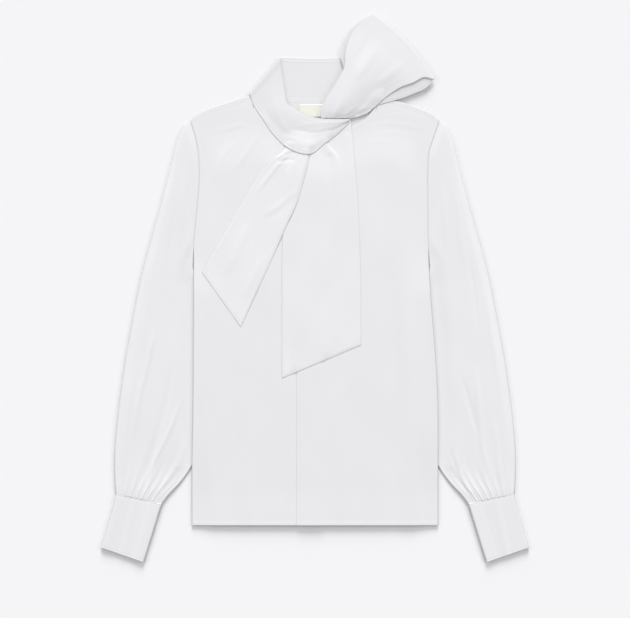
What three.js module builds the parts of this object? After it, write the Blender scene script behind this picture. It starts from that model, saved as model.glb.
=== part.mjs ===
// A tie neck blouse laid flat, face up, on a surface.
// Millimetres. +Z is up from the surface, +Y runs towards the neck, +X to the wearer's left.
// The origin is the middle of the outline, on the surface.
// Each piece is a wall round middle points that come from a short table of sections.
import * as THREE from "three";

// Thickness of the cloth walls, and the gaps between them
const CLOTH = 1.2; // one layer of shell cloth
const TIE = 1.6; // the tie is sewn double
const CUFF = 2.0; // double cloth, stiffened
const SEAM = 0.3; // gap between two pieces that are sewn together
const REST = 0.4; // gap under a piece that lies on another

// Driving sizes
const HEM_Y = -378.4;
const HEM_FOLD = 5; // width of the turned hem
const SHOULDER_TIP = { x: 199.2, y: 268 };
const NECK_HALF = 100; // half the width of the neck hole
const NECK_Y = 309; // height of the neck points
const FRONT_SCOOP = 62; // depth of the front neckline
const BACK_SCOOP = 12; // depth of the back neckline
const STAND_EDGE = -29.6; // the front edge of the button stand
const STAND_UNDER = 3; // how far the other front runs on under it
const HEM_RAISE = 0.5;
const BODY_PUFF = 2.0; // how far the front stands off the back
const GATHERS = 14; // gathers on each sleeve's upper layer, at the cuff

// The body's side edges: half widths at heights from the hem to the shoulder tip.
// left and right are as seen from above, and 62 is the underarm.
const BODY = [
  { y: HEM_Y, left: 197, right: 197 },
  { y: -290, left: 197, right: 197 },
  { y: -180, left: 195.2, right: 196.4 },
  { y: -98, left: 194.8, right: 192 },
  { y: -18, left: 194.4, right: 185.6 },
  { y: 62, left: 194, right: 181.4 },
  { y: 118, left: 189.6, right: 180.2 },
  { y: 150, left: 186.4, right: 180 },
  { y: 182, left: 184.8, right: 180 },
  { y: 214, left: 186.4, right: 181.6 },
  { y: 238, left: 190.5, right: 188.8 },
  { y: 268, left: 199.2, right: 199.2 },
];

// Heights of the panels' rows at their side edges, from the hem up
const HEM_ROWS = [HEM_Y, HEM_Y + HEM_FOLD, HEM_Y + HEM_FOLD + 2];
// These run straight across, up to the underarm.
const STRAIGHT_ROWS = [-335, -318, -302, -220, -130, -40, 36, 48, 60];
const ARMHOLE_ROWS = [90, 120, 150, 182, 214, 242, 268];
const ROW_HEIGHTS = [...HEM_ROWS, ...STRAIGHT_ROWS, ...ARMHOLE_ROWS];
// Places across a panel between its neck point and its shoulder tip
const SHOULDER_COLUMNS = [112, 126, 142, 158, 172, 184, 192, 199.2];
const NECK_TURNS = 5; // spans round each quarter of a neckline

// The shoulder line, from the neck point to the tip
const SHOULDER = [
  { x: 100, y: 309 },
  { x: 112, y: 306.4 },
  { x: 137.6, y: 298.4 },
  { x: 166.4, y: 288.8 },
  { x: 187, y: 279 },
  { x: 199.2, y: 268 },
];

// Soft flutes down the front: where each one is, its half width and its height
const FLUTES = [
  { x: -168, half: 20, rise: 0.9 },
  { x: -128, half: 16, rise: 0.7 },
  { x: -74, half: 22, rise: 0.9 },
  { x: 40, half: 30, rise: 0.7 },
  { x: 96, half: 26, rise: 0.6 },
  { x: 150, half: 24, rise: 0.9 },
];

// Sections across a sleeve, from the armhole to the cuff: ox, oy is its outer edge and iy the height of its
// inner edge, which lies tuck inside the body's side edge. cap is how much of the armhole's curve the section
// keeps, and puff how far the upper layer stands up.
const SLEEVE = [
  { ox: 199.6, oy: 267.6, iy: 62.4, tuck: -0.4, cap: 1, puff: 0 },
  { ox: 210.0, oy: 259.6, iy: 59, tuck: -1.0, cap: 0.8, puff: 0.4 },
  { ox: 220.6, oy: 236, iy: 54, tuck: -1.3, cap: 0.56, puff: 0.8 },
  { ox: 229.2, oy: 203, iy: 48, tuck: -1.3, cap: 0.34, puff: 1.2 },
  { ox: 240.4, oy: 160, iy: 41, tuck: -1.2, cap: 0.16, puff: 1.5 },
  { ox: 254.6, oy: 108, iy: 33, tuck: -0.9, cap: 0.05, puff: 1.8 },
  { ox: 268.2, oy: 60, iy: 19, tuck: 3, cap: 0, puff: 2.0 },
  { ox: 281.2, oy: 8, iy: -6, tuck: 11, cap: 0, puff: 2.2 },
  { ox: 292.4, oy: -50, iy: -51, tuck: 18, cap: 0, puff: 2.3 },
  { ox: 302.6, oy: -106, iy: -106, tuck: 21, cap: 0, puff: 2.4 },
  { ox: 311.2, oy: -164, iy: -165, tuck: 22, cap: 0, puff: 2.5 },
  { ox: 317.6, oy: -218, iy: -218, tuck: 18, cap: 0, puff: 2.6 },
  { ox: 320.8, oy: -260, iy: -262, tuck: 10, cap: 0, puff: 2.7 },
  { ox: 321.0, oy: -288, iy: -289, tuck: -3, cap: 0, puff: 2.6 },
  { ox: 320.4, oy: -307, iy: -311, tuck: -19, cap: 0, puff: 2.4 },
  { ox: 319.4, oy: -321, iy: -329, tuck: -36, cap: 0, puff: 2.1 },
  { ox: 318.4, oy: -328.4, iy: -344.2, tuck: -47.4, cap: 0, puff: 1.8 },
];
// The sections that are cut, as row numbers, and how many spans each has on its upper and lower layer
const SLEEVE_CUTS = [
  ...[0, 1].map((row) => ({ row, spans: 14, lowerSpans: 14 })),
  ...[2, 3, 4, 5, 6, 7, 8, 9, 10, 11, 12, 13].map((row) => ({ row, spans: 14, lowerSpans: 4 })),
  ...[14.2, 15, 15.6, 16].map((row) => ({ row, spans: 4 * GATHERS, lowerSpans: 4 })),
];
// Long folds on a sleeve that run up from the cuff: where each one starts across the cuff, where it ends,
// how many rows up it dies out, and its height
const SLEEVE_FOLDS = [
  { at: 0.16, to: 0.24, rows: 6, rise: 1.1 },
  { at: 0.33, to: 0.4, rows: 5, rise: 1.0 },
  { at: 0.5, to: 0.52, rows: 7, rise: 1.2 },
  { at: 0.64, to: 0.63, rows: 4, rise: 1.0 },
  { at: 0.8, to: 0.74, rows: 3, rise: 0.8 },
];
const EDGE_HEIGHT = 3.0; // height of a sleeve at its folded edges
const GATHERED = { first: 13, edge: 1.2, wall: 0.3, wave: 0.9 }; // what is added from that row on to the cuff
const CUFF_HEIGHT = 4.8;

// Sections along a cuff, its outer and inner corners
const CUFF_ROWS = [
  { ox: 318.46, oy: -328.69, ix: 244.46, iy: -344.49 },
  { ox: 323.2, oy: -348, ix: 251.4, iy: -366 },
  { ox: 329.8, oy: -372, ix: 259, iy: -391 },
  { ox: 336.6, oy: -395, ix: 266.8, iy: -416 },
  { ox: 342.4, oy: -413.6, ix: 273.6, iy: -437.6 },
];

// Sections across the neck tie, from its end under the knot, round the back of the neck, to the wrap over the
// knot. tx, ty is its upper edge and bx, by the edge that is sewn to the neckline. z is the least height of the
// underside, and bulge how far the middle stands up between the edges.
const TIE_UNDER = [
  { tx: 12, ty: 262, bx: 20, by: 248, z: 3.3, bulge: 0.2 },
  { tx: 24, ty: 274, bx: 40, by: 258, z: 3.2, bulge: 0.2 },
  { tx: 38, ty: 292, bx: 64, by: 270, z: 3.2, bulge: 0.2 },
  { tx: 47, ty: 318, bx: 86, by: 285, z: 3.2, bulge: 0.1 },
  { tx: 53, ty: 346, bx: 99, by: 298, z: 3.2, bulge: 0 },
];
const TIE_BACK = [
  { tx: 46, ty: 368.8, bx: 86, by: 305.4, z: 0, bulge: 0 },
  { tx: 24, ty: 368, bx: 44, by: 299.8, z: 0, bulge: 0 },
  { tx: 0, ty: 367.6, bx: 0, by: 298.4, z: 0, bulge: 0 },
  { tx: -24, ty: 368, bx: -44, by: 299.8, z: 0, bulge: 0 },
  { tx: -46, ty: 368.8, bx: -86, by: 305.4, z: 0, bulge: 0 },
];
const TIE_WRAP = [
  { tx: -53, ty: 346, bx: -99.4, by: 296, z: 3.3, bulge: 0.2 },
  { tx: -49, ty: 320, bx: -92, by: 283, z: 3.5, bulge: 0.6 },
  { tx: -44.8, ty: 296.8, bx: -83, by: 270, z: 4.4, bulge: 1.2 },
  { tx: -34, ty: 289.6, bx: -68.8, by: 248.8, z: 6.8, bulge: 2.0 },
  { tx: -22, ty: 283, bx: -48, by: 228, z: 9.2, bulge: 2.8 },
  { tx: -6, ty: 275, bx: -26, by: 216.4, z: 9.8, bulge: 3.2 },
  { tx: 10, ty: 271.6, bx: -4, by: 214, z: 10.0, bulge: 3.2 },
  { tx: 26, ty: 270.8, bx: 16, by: 224, z: 9.9, bulge: 2.6 },
  { tx: 42, ty: 270.6, bx: 36, by: 242, z: 9.5, bulge: 1.6 },
  { tx: 56, ty: 270.8, bx: 54, by: 263, z: 8.8, bulge: 0.4 },
];
// The two folds where the tie turns over beside the neck: the upper and lower end of each
const TIE_FOLD = { tx: 57, ty: 369.6, bx: 105.8, by: 312, under: 0.8, over: 4.1 };

// Sections across the bow loop: its upper layer from the knot to the fold, and its lower layer from the fold
// back. lx, ly is its left edge, rx, ry its right edge, and z the least height of the underside.
const LOOP_OVER = [
  { lx: 8.4, ly: 272.6, rx: 60, ry: 272.2, z: 8.6, bulge: 2.0 },
  { lx: 9.4, ly: 286, rx: 72, ry: 275.6, z: 10.2, bulge: 2.4 },
  { lx: 18, ly: 305, rx: 86, ry: 282, z: 11.0, bulge: 2.0 },
  { lx: 33, ly: 328, rx: 100, ry: 294, z: 11.0, bulge: 1.4 },
  { lx: 46, ly: 352, rx: 116, ry: 308, z: 10.4, bulge: 1.0 },
  { lx: 48.6, ly: 378, rx: 136, ry: 321, z: 9.4, bulge: 0.8 },
  { lx: 54.4, ly: 399, rx: 156, ry: 328.4, z: 8.2, bulge: 0.5 },
  { lx: 68, ly: 420, rx: 174, ry: 337, z: 6.6, bulge: 0.2 },
];
const LOOP_FOLD = { lx: 93, ly: 440, rx: 191, ry: 335.6, crown: 8, under: 1.6, over: 6.6 };
const LOOP_UNDER = [
  { lx: 65, ly: 421, rx: 178, ry: 320.6, z: 1.2, bulge: 0 },
  { lx: 50, ly: 400, rx: 160, ry: 312, z: 2.0, bulge: 0 },
  { lx: 40.4, ly: 374, rx: 138, ry: 303.6, z: 3.8, bulge: 0 },
  { lx: 46, ly: 350, rx: 116, ry: 297.8, z: 5.0, bulge: 0 },
  { lx: 44, ly: 330, rx: 96, ry: 292, z: 5.5, bulge: 0 },
  { lx: 40, ly: 312, rx: 78, ry: 286, z: 5.8, bulge: 0 },
];

// Sections across the long tail, from under the wrap to its slanted end
const TAIL_LONG = [
  { lx: -18, ly: 236, rx: 57, ry: 268.6 },
  { lx: -24, ly: 216, rx: 60, ry: 246 },
  { lx: -34, ly: 190, rx: 63.4, ry: 210 },
  { lx: -44, ly: 152, rx: 67.4, ry: 160 },
  { lx: -50.4, ly: 108, rx: 70.4, ry: 108 },
  { lx: -52.8, ly: 52, rx: 72.4, ry: 54 },
  { lx: -52.9, ly: -10, rx: 73.4, ry: 2 },
  { lx: -52.9, ly: -76, rx: 73.6, ry: -44 },
  { lx: -52.8, ly: -143.2, rx: 73.6, ry: -90.4 },
];
// Soft folds down a tail from the knot: where across the tail, the half width, the height at the knot, and how
// many rows down it dies out
const LONG_FOLDS = [
  { at: 0.46, half: 0.12, rise: 1.0, rows: 3.4 },
  { at: 0.64, half: 0.07, rise: 1.3, rows: 4.2 },
  { at: 0.86, half: 0.12, rise: 0.8, rows: 6 },
];
const TAIL_SHORT = [
  { lx: -42, ly: 232, rx: -9, ry: 229 },
  { lx: -56, ly: 217, rx: -10.4, ry: 206 },
  { lx: -76, ly: 202, rx: -16, ry: 180 },
  { lx: -97, ly: 175, rx: -29, ry: 136 },
  { lx: -120, ly: 134, rx: -47, ry: 97 },
  { lx: -142, ly: 96, rx: -70, ry: 44 },
  { lx: -162, ly: 61, rx: -94.4, ry: -8.8 },
  { lx: -180.8, ly: 26.4, rx: -118.4, ry: -61.6 },
];
const SHORT_FOLDS = [
  { at: 0.3, half: 0.16, rise: 1.4, rows: 2.6 },
  { at: 0.72, half: 0.12, rise: 1.6, rows: 3.6 },
];

// The label inside the back neck
const LABEL = { half: 24, top: 294.4, height: 20, thick: 1 };

// How cloth comes to rest over an edge: how far away the edge may be, and how much lower the cloth then lies
const DRAPE_RINGS = [
  { away: 3, drop: 0 },
  { away: 6, drop: 0 },
  { away: 12, drop: 0.1 },
  { away: 18, drop: 1.8 },
];
const DRAPE_TURNS = 12;
const FOLD_STEPS = 5; // spans round a fold of the tie

const CLOTH_COLOUR = 0xebebed;
const LABEL_COLOUR = 0xf1f0ea;

const smooth = (low, high, value) => THREE.MathUtils.smoothstep(value, low, high);
const mix = THREE.MathUtils.lerp;
const bump = (distance, half) =>
  Math.abs(distance) < half ? 0.5 + 0.5 * Math.cos((Math.PI * distance) / half) : 0;

// The value of one column at another column's value, on a smooth curve through a table's rows.
function columnAt(rows, by, value, column) {
  const last = rows.length - 1;
  const at = THREE.MathUtils.clamp(value, rows[0][by], rows[last][by]);
  let k = 0;
  while (k < last - 1 && at > rows[k + 1][by]) k += 1;
  const slope = (i) => {
    const a = rows[Math.max(i - 1, 0)];
    const b = rows[Math.min(i + 1, last)];
    return (b[column] - a[column]) / (b[by] - a[by]);
  };
  const span = rows[k + 1][by] - rows[k][by];
  const t = (at - rows[k][by]) / span;
  const [square, cube] = [t ** 2, t ** 3];
  const hermite = [2 * cube - 3 * square + 1, cube - 2 * square + t, 3 * square - 2 * cube, cube - square];
  const ends = [rows[k][column], slope(k) * span, rows[k + 1][column], slope(k + 1) * span];
  return hermite.reduce((sum, h, i) => sum + h * ends[i], 0);
}

// A row between two rows, every column on a smooth curve. number may be a fraction.
function rowAt(rows, number) {
  const last = rows.length - 1;
  const k = Math.min(Math.floor(number), last - 1);
  const t = number - k;
  const read = (i, name) => {
    if (i < 0) return 2 * rows[0][name] - rows[1][name];
    if (i > last) return 2 * rows[last][name] - rows[last - 1][name];
    return rows[i][name];
  };
  const row = {};
  for (const name of Object.keys(rows[0])) {
    const [a, b, c, d] = [-1, 0, 1, 2].map((step) => read(k + step, name));
    row[name] = b + 0.5 * t * (c - a + t * (2 * a - 5 * b + 4 * c - d + t * (3 * (b - c) + d - a)));
  }
  return row;
}

// A geometry from points and triangles of their numbers.
function solidFrom(points, triangles) {
  const positions = new Float32Array(points.flatMap((p) => [p.x, p.y, p.z]));
  const geometry = new THREE.BufferGeometry();
  geometry.setAttribute("position", new THREE.BufferAttribute(positions, 3));
  geometry.setIndex(triangles.flat());
  geometry.computeVertexNormals();
  return geometry;
}

// A closed wall round a grid of middle points. added(i, point) is what row i's upper side has more.
function wallFrom(grid, thick, added = () => 0) {
  const rows = grid.length;
  const columns = grid[0].length;
  const upper = [];
  const lower = [];
  for (let i = 0; i < rows; i += 1) {
    for (let j = 0; j < columns; j += 1) {
      const along = grid[Math.min(i + 1, rows - 1)][j].clone().sub(grid[Math.max(i - 1, 0)][j]);
      const across = grid[i][Math.min(j + 1, columns - 1)].clone().sub(grid[i][Math.max(j - 1, 0)]);
      const normal = along.cross(across).normalize();
      upper.push(grid[i][j].clone().addScaledVector(normal, thick / 2 + added(i, grid[i][j])));
      lower.push(grid[i][j].clone().addScaledVector(normal, -thick / 2));
    }
  }
  const number = (i, j) => i * columns + j;
  const under = (k) => k + rows * columns;
  const triangles = [];
  for (let i = 0; i < rows - 1; i += 1) {
    for (let j = 0; j < columns - 1; j += 1) {
      const [a, b, c, d] = [number(i, j), number(i + 1, j), number(i + 1, j + 1), number(i, j + 1)];
      triangles.push([a, b, c], [a, c, d], [under(c), under(b), under(a)], [under(d), under(c), under(a)]);
    }
  }
  const rim = [];
  for (let i = 0; i < rows - 1; i += 1) rim.push(number(i, 0));
  for (let j = 0; j < columns - 1; j += 1) rim.push(number(rows - 1, j));
  for (let i = rows - 1; i > 0; i -= 1) rim.push(number(i, columns - 1));
  for (let j = columns - 1; j > 0; j -= 1) rim.push(number(0, j));
  rim.forEach((p, k) => {
    const q = rim[(k + 1) % rim.length];
    triangles.push([q, p, under(p)], [q, under(p), under(q)]);
  });
  return solidFrom([...upper, ...lower], triangles);
}

// A closed wall round a tube. Each ring has outer and inner points, and q, where each one is round the ring.
function tubeFrom(rings) {
  const points = [];
  const triangles = [];
  const store = (list) => list.map((p) => points.push(p) - 1);
  const numbered = rings.map((ring) => ({ q: ring.q, outer: store(ring.outer), inner: store(ring.inner) }));
  const stitch = (a, b, qa, qb, turned) => {
    const add = (x, y, z) => triangles.push(turned ? [z, y, x] : [x, y, z]);
    let [i, j] = [0, 0];
    while (i < a.length || j < b.length) {
      const nextA = i < a.length ? (qa[i + 1] ?? 1) : 2;
      const nextB = j < b.length ? (qb[j + 1] ?? 1) : 2;
      const [ai, bj] = [a[i % a.length], b[j % b.length]];
      if (nextA <= nextB) {
        add(ai, a[(i + 1) % a.length], bj);
        i += 1;
      } else {
        add(ai, b[(j + 1) % b.length], bj);
        j += 1;
      }
    }
  };
  for (let k = 0; k < numbered.length - 1; k += 1) {
    const [a, b] = [numbered[k], numbered[k + 1]];
    stitch(a.outer, b.outer, a.q, b.q, false);
    stitch(a.inner, b.inner, a.q, b.q, true);
  }
  const [first, last] = [numbered[0], numbered[numbered.length - 1]];
  const rim = (ring, add) =>
    ring.outer.forEach((a, k) => {
      const next = (k + 1) % ring.outer.length;
      add(a, ring.outer[next], ring.inner[next], ring.inner[k]);
    });
  rim(first, (a, b, c, d) => triangles.push([b, a, d], [b, d, c]));
  rim(last, (a, b, c, d) => triangles.push([a, b, d], [b, c, d]));
  return solidFrom(points, triangles);
}

// Turns a solid's faces outwards if they all point in.
function facingOut(geometry) {
  const position = geometry.getAttribute("position");
  const index = geometry.getIndex();
  const corner = (k) => new THREE.Vector3().fromBufferAttribute(position, index.getX(k));
  let volume = 0;
  for (let k = 0; k < index.count; k += 3) volume += corner(k).dot(corner(k + 1).cross(corner(k + 2)));
  if (volume < 0) {
    for (let k = 0; k < index.count; k += 3) {
      const first = index.getX(k);
      index.setX(k, index.getX(k + 2));
      index.setX(k + 2, first);
    }
    geometry.computeVertexNormals();
  }
  return geometry;
}

// The body's half width on one side at a height. side is -1 on the left as seen, and 1 on the right.
// Between the panels' rows it runs straight, as the panels do.
function halfWidth(side, y) {
  const at = THREE.MathUtils.clamp(y, ROW_HEIGHTS[0], ROW_HEIGHTS[ROW_HEIGHTS.length - 1]);
  let k = 0;
  while (k < ROW_HEIGHTS.length - 2 && at > ROW_HEIGHTS[k + 1]) k += 1;
  const [low, high] = [ROW_HEIGHTS[k], ROW_HEIGHTS[k + 1]];
  const read = (height) => columnAt(BODY, "y", height, side < 0 ? "left" : "right");
  return mix(read(low), read(high), (at - low) / (high - low));
}
const scoop = (x, depth) => NECK_Y - depth * Math.sqrt(Math.max(0, 1 - (x / NECK_HALF) ** 2));
const topEdge = (x, depth) =>
  Math.abs(x) < NECK_HALF ? scoop(x, depth) : columnAt(SHOULDER, "x", Math.abs(x), "y");
const insideEdge = (x, y) => halfWidth(Math.sign(x) || 1, y) - Math.abs(x);

// How far the body is lifted where it lies over a sleeve's inner edge.
function lift(x, y) {
  const over = 1 - smooth(29, 54, insideEdge(x, y));
  return (EDGE_HEIGHT + REST) * over * (1 - smooth(36, 60, y)) * smooth(-335, -302, y);
}

// The underside of the fronts: just off the back at the seams, and higher inside them.
function frontUnder(x, y) {
  const below = topEdge(x, FRONT_SCOOP) - y;
  const free = smooth(2, 46, insideEdge(x, y)) * smooth(40, 110, below);
  const flutes = FLUTES.reduce((sum, flute) => sum + flute.rise * bump(x - flute.x, flute.half), 0);
  return CLOTH + SEAM + Math.hypot(lift(x, y), free * (BODY_PUFF + flutes));
}
// The left front passes over the right front at the button stand.
const standStep = (x) => (CLOTH + SEAM) * (1 - smooth(STAND_UNDER + 3, STAND_UNDER + 17, x));

// The grid of a body panel. columns are places across it at the shoulder, and all panels share their rows, so
// that one lies on the other without touching it.
function panelGrid(columns, depth, under) {
  const underarm = STRAIGHT_ROWS[STRAIGHT_ROWS.length - 1];
  return ROW_HEIGHTS.map((height) =>
    [...columns]
      .sort((a, b) => b - a)
      .map((column) => {
        const share = (height - underarm) / (SHOULDER_TIP.y - underarm);
        const y = height <= underarm ? height : mix(underarm, topEdge(column, depth), share);
        const side = Math.sign(column) || 1;
        const narrowed = halfWidth(side, height) / SHOULDER_TIP.x;
        const x = column * mix(1, narrowed, smooth(30, NECK_HALF, Math.abs(column)));
        return new THREE.Vector3(x, y, under(x, y) + CLOTH / 2);
      }),
  );
}
// Places across one side of a panel, from a place on the neckline: close together at the neckline's steep end.
function columnsFrom(side, from) {
  const start = Math.asin(from / NECK_HALF);
  const end = (side * Math.PI) / 2;
  const turns = Array.from({ length: NECK_TURNS + 1 }, (_, k) => mix(start, end, k / NECK_TURNS));
  return [...turns.map((turn) => NECK_HALF * Math.sin(turn)), ...SHOULDER_COLUMNS.map((x) => side * x)];
}

// What has been laid down so far, as triangles in plan. The pieces are laid in order, and a piece that lies on
// others reads from here how high they are.
const laid = [];
function layDown(grid, thick) {
  for (let i = 0; i < grid.length - 1; i += 1) {
    for (let j = 0; j < grid[0].length - 1; j += 1) {
      const [a, b, c, d] = [grid[i][j], grid[i + 1][j], grid[i + 1][j + 1], grid[i][j + 1]];
      for (const corners of [[a, b, c], [a, c, d]]) {
        const [p, q, r] = corners;
        const whole = (q.x - p.x) * (r.y - p.y) - (r.x - p.x) * (q.y - p.y);
        const box = new THREE.Box2().setFromPoints(corners);
        if (Math.abs(whole) > 1e-6) laid.push({ corners, whole, thick, box });
      }
    }
  }
}
function topAt(x, y) {
  let top = 0;
  for (const { corners, whole, thick, box } of laid) {
    if (x < box.min.x || x > box.max.x || y < box.min.y || y > box.max.y) continue;
    const [p, q, r] = corners;
    const u = ((x - p.x) * (r.y - p.y) - (r.x - p.x) * (y - p.y)) / whole;
    const v = ((q.x - p.x) * (y - p.y) - (x - p.x) * (q.y - p.y)) / whole;
    const inside = u >= 0 && v >= 0 && u + v <= 1;
    if (inside) top = Math.max(top, p.z + u * (q.z - p.z) + v * (r.z - p.z) + thick / 2);
  }
  return top;
}
// The height at which cloth comes to lie over a place: it spans what is beside it and falls away gently.
function levelOver(x, y) {
  let level = topAt(x, y);
  for (const { away, drop } of DRAPE_RINGS) {
    for (let k = 0; k < DRAPE_TURNS; k += 1) {
      const turn = (2 * Math.PI * k) / DRAPE_TURNS;
      level = Math.max(level, topAt(x + away * Math.cos(turn), y + away * Math.sin(turn)) - drop);
    }
  }
  return level;
}

// The turned hem stands up a little, but not where the left front lies on the right one.
const hem = (i) => (i < 2 ? HEM_RAISE : 0);
const hemBesideStand = (i, point) => (point.x < STAND_EDGE - 20 ? hem(i) : 0);

function back() {
  const grid = panelGrid([...columnsFrom(-1, -16), 0, ...columnsFrom(1, 16)], BACK_SCOOP, lift);
  layDown(grid, CLOTH);
  return wallFrom(grid, CLOTH);
}

function frontRight() {
  const grid = panelGrid([STAND_UNDER, ...columnsFrom(-1, -16)], FRONT_SCOOP, frontUnder);
  layDown(grid, CLOTH);
  return wallFrom(grid, CLOTH, hemBesideStand);
}

function frontLeft() {
  const under = (x, y) => frontUnder(x, y) + standStep(x);
  const grid = panelGrid([STAND_EDGE, -16, STAND_UNDER, ...columnsFrom(1, 16)], FRONT_SCOOP, under);
  layDown(grid, CLOTH);
  return wallFrom(grid, CLOTH, hem);
}

// One ring round a flattened tube whose two layers lie on each other, from its outer edge to its inner edge.
// place(u) is the plan place across it and rise(u) the height of its upper layer.
function flatRing({ place, rise, edge, wall, spans, lowerSpans }) {
  const arcSteps = 3;
  const [q, outer, inner] = [[], [], []];
  const radius = edge / 2;
  const inset = radius / place(1).distanceTo(place(0));
  const add = (share, plans, high, low) => {
    q.push(share);
    outer.push(new THREE.Vector3(plans[0].x, plans[0].y, high));
    inner.push(new THREE.Vector3(plans[1].x, plans[1].y, low));
  };
  const flat = (share, u, high, low) => add(share, [place(u), place(u)], high, low);
  const round = (from, end, sign) => {
    for (let k = 1; k < arcSteps; k += 1) {
      const turn = (Math.PI * k) / arcSteps;
      const out = sign * inset * Math.sin(turn);
      const plans = [place(end + out), place(end + (out * (radius - wall)) / radius)];
      const up = sign * Math.cos(turn);
      add(from + (0.1 * k) / arcSteps, plans, radius + radius * up, radius + (radius - wall) * up);
    }
  };
  for (let k = 0; k <= spans; k += 1) {
    const u = mix(inset, 1 - inset, k / spans);
    flat((0.5 * k) / spans, u, rise(u), rise(u) - wall);
  }
  round(0.5, 1 - inset, 1);
  for (let k = 0; k <= lowerSpans; k += 1) {
    flat(0.6 + (0.3 * k) / lowerSpans, mix(1 - inset, inset, k / lowerSpans), 0, wall);
  }
  round(0.9, inset, -1);
  return { q, outer, inner };
}

// How far a sleeve's upper layer stands above its edges at one place across a section.
function sleevePuff(row, number, width, u) {
  const fromInner = (1 - u) * width - Math.max(row.tuck, 0) - 6;
  const free = smooth(0, 24, fromInner) * smooth(0, 16, u * width);
  const up = SLEEVE.length - 1 - number;
  const gathered = GATHERED.wave * Math.exp(-up / 1.1) * Math.cos(2 * Math.PI * GATHERS * u);
  const folds = SLEEVE_FOLDS.reduce((sum, fold) => {
    const share = Math.min(up / fold.rows, 1);
    const strength = smooth(0, 1, up) * (1 - smooth(0.5, 1, share));
    return sum + fold.rise * strength * bump(u - mix(fold.at, fold.to, share), 0.06 + 0.03 * share);
  }, 0);
  const window = smooth(0, 5, u * width) * smooth(0, 5, (1 - u) * width);
  return free * (row.puff + folds) + window * gathered * smooth(0, 0.6, row.puff);
}

function sleeve(side) {
  const armhole = (u) => {
    const y = mix(SLEEVE[0].oy, SLEEVE[0].iy, u);
    return halfWidth(side, y) + SEAM - mix(SLEEVE[0].ox, halfWidth(side, SLEEVE[0].iy) - SLEEVE[0].tuck, u);
  };
  const rings = SLEEVE_CUTS.map(({ row: number, spans, lowerSpans }) => {
    const row = rowAt(SLEEVE, number);
    const outerEdge = new THREE.Vector2(row.ox, row.oy);
    const innerEdge = new THREE.Vector2(halfWidth(side, row.iy) - row.tuck, row.iy);
    const width = outerEdge.distanceTo(innerEdge);
    const place = (u) => {
      const plan = outerEdge.clone().lerp(innerEdge, u);
      return new THREE.Vector2(side * (plan.x + row.cap * armhole(u)), plan.y);
    };
    const gathered = smooth(GATHERED.first, SLEEVE.length - 1, number);
    const edge = mix(2 * CLOTH + SEAM, EDGE_HEIGHT, smooth(0, 1, number)) + GATHERED.edge * gathered;
    const wall = CLOTH + GATHERED.wall * gathered;
    const rise = (u) => edge + sleevePuff(row, number, width, u);
    return flatRing({ place, rise, edge, wall, spans, lowerSpans });
  });
  return tubeFrom(rings);
}

function cuff(side) {
  const rings = CUFF_ROWS.map((row) => {
    const place = (u) => new THREE.Vector2(side * mix(row.ox, row.ix, u), mix(row.oy, row.iy, u));
    const rise = () => CUFF_HEIGHT;
    return flatRing({ place, rise, edge: CUFF_HEIGHT, wall: CUFF, spans: 6, lowerSpans: 4 });
  });
  return tubeFrom(rings);
}

// Middle points across a section of a strip, from one edge to the other. They lie on what is below, or at the
// row's own height if that is higher. A flat row lies at its own height.
function acrossSection(a, b, row, count, extra = () => 0) {
  return Array.from({ length: count + 1 }, (_, k) => {
    const w = k / count;
    const [x, y] = [mix(a[0], b[0], w), mix(a[1], b[1], w)];
    const under = row.flat ? row.z : Math.max(row.z ?? 0, levelOver(x, y) + REST);
    return new THREE.Vector3(x, y, under + TIE / 2 + (row.bulge ?? 0) * Math.sin(Math.PI * w) + extra(w));
  });
}
// Sections round a fold: they start on one level and end on the other, and the fold's line is furthest out.
function roundFold({ ends, inward, under, over, crown = 0, count, rising }) {
  const radius = (over - under) / 2;
  return Array.from({ length: FOLD_STEPS + 1 }, (_, step) => {
    const turn = (Math.PI * step) / FOLD_STEPS;
    const z = (over + under) / 2 + (rising ? -1 : 1) * radius * Math.cos(turn);
    return Array.from({ length: count + 1 }, (__, k) => {
      const w = k / count;
      const out = crown * Math.sin(Math.PI * w) - radius * (1 - Math.sin(turn));
      const x = mix(ends[0][0], ends[1][0], w) - inward[0] * out;
      const y = mix(ends[0][1], ends[1][1], w) - inward[1] * out;
      return new THREE.Vector3(x, y, z);
    });
  });
}
// Rows of a table with one more between each two.
const halved = (rows) =>
  Array.from({ length: 2 * rows.length - 1 }, (_, k) => (k % 2 ? rowAt(rows, k / 2) : rows[k / 2]));

const tieSection = (row) => acrossSection([row.tx, row.ty], [row.bx, row.by], row, 7);
function tieFold(side, rising) {
  const line = new THREE.Vector2(TIE_FOLD.bx - TIE_FOLD.tx, TIE_FOLD.by - TIE_FOLD.ty).normalize();
  const ends = [
    [side * TIE_FOLD.tx, TIE_FOLD.ty],
    [side * TIE_FOLD.bx, TIE_FOLD.by],
  ];
  const inward = [side * line.y, -line.x];
  return roundFold({ ends, inward, under: TIE_FOLD.under, over: TIE_FOLD.over, count: 7, rising });
}

// A hanging tail: it lies on what is below it, with folds that run down from the knot.
function tail(rows, folds, count) {
  const grid = halved(rows).map((row, k) => {
    const ridge = (fold, w) => fold.rise * (1 - smooth(0, fold.rows, k / 2)) * bump(w - fold.at, fold.half);
    const ridges = (w) => folds.reduce((sum, fold) => sum + ridge(fold, w), 0);
    return acrossSection([row.lx, row.ly], [row.rx, row.ry], row, count, ridges);
  });
  layDown(grid, TIE);
  return wallFrom(grid, TIE);
}

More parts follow.
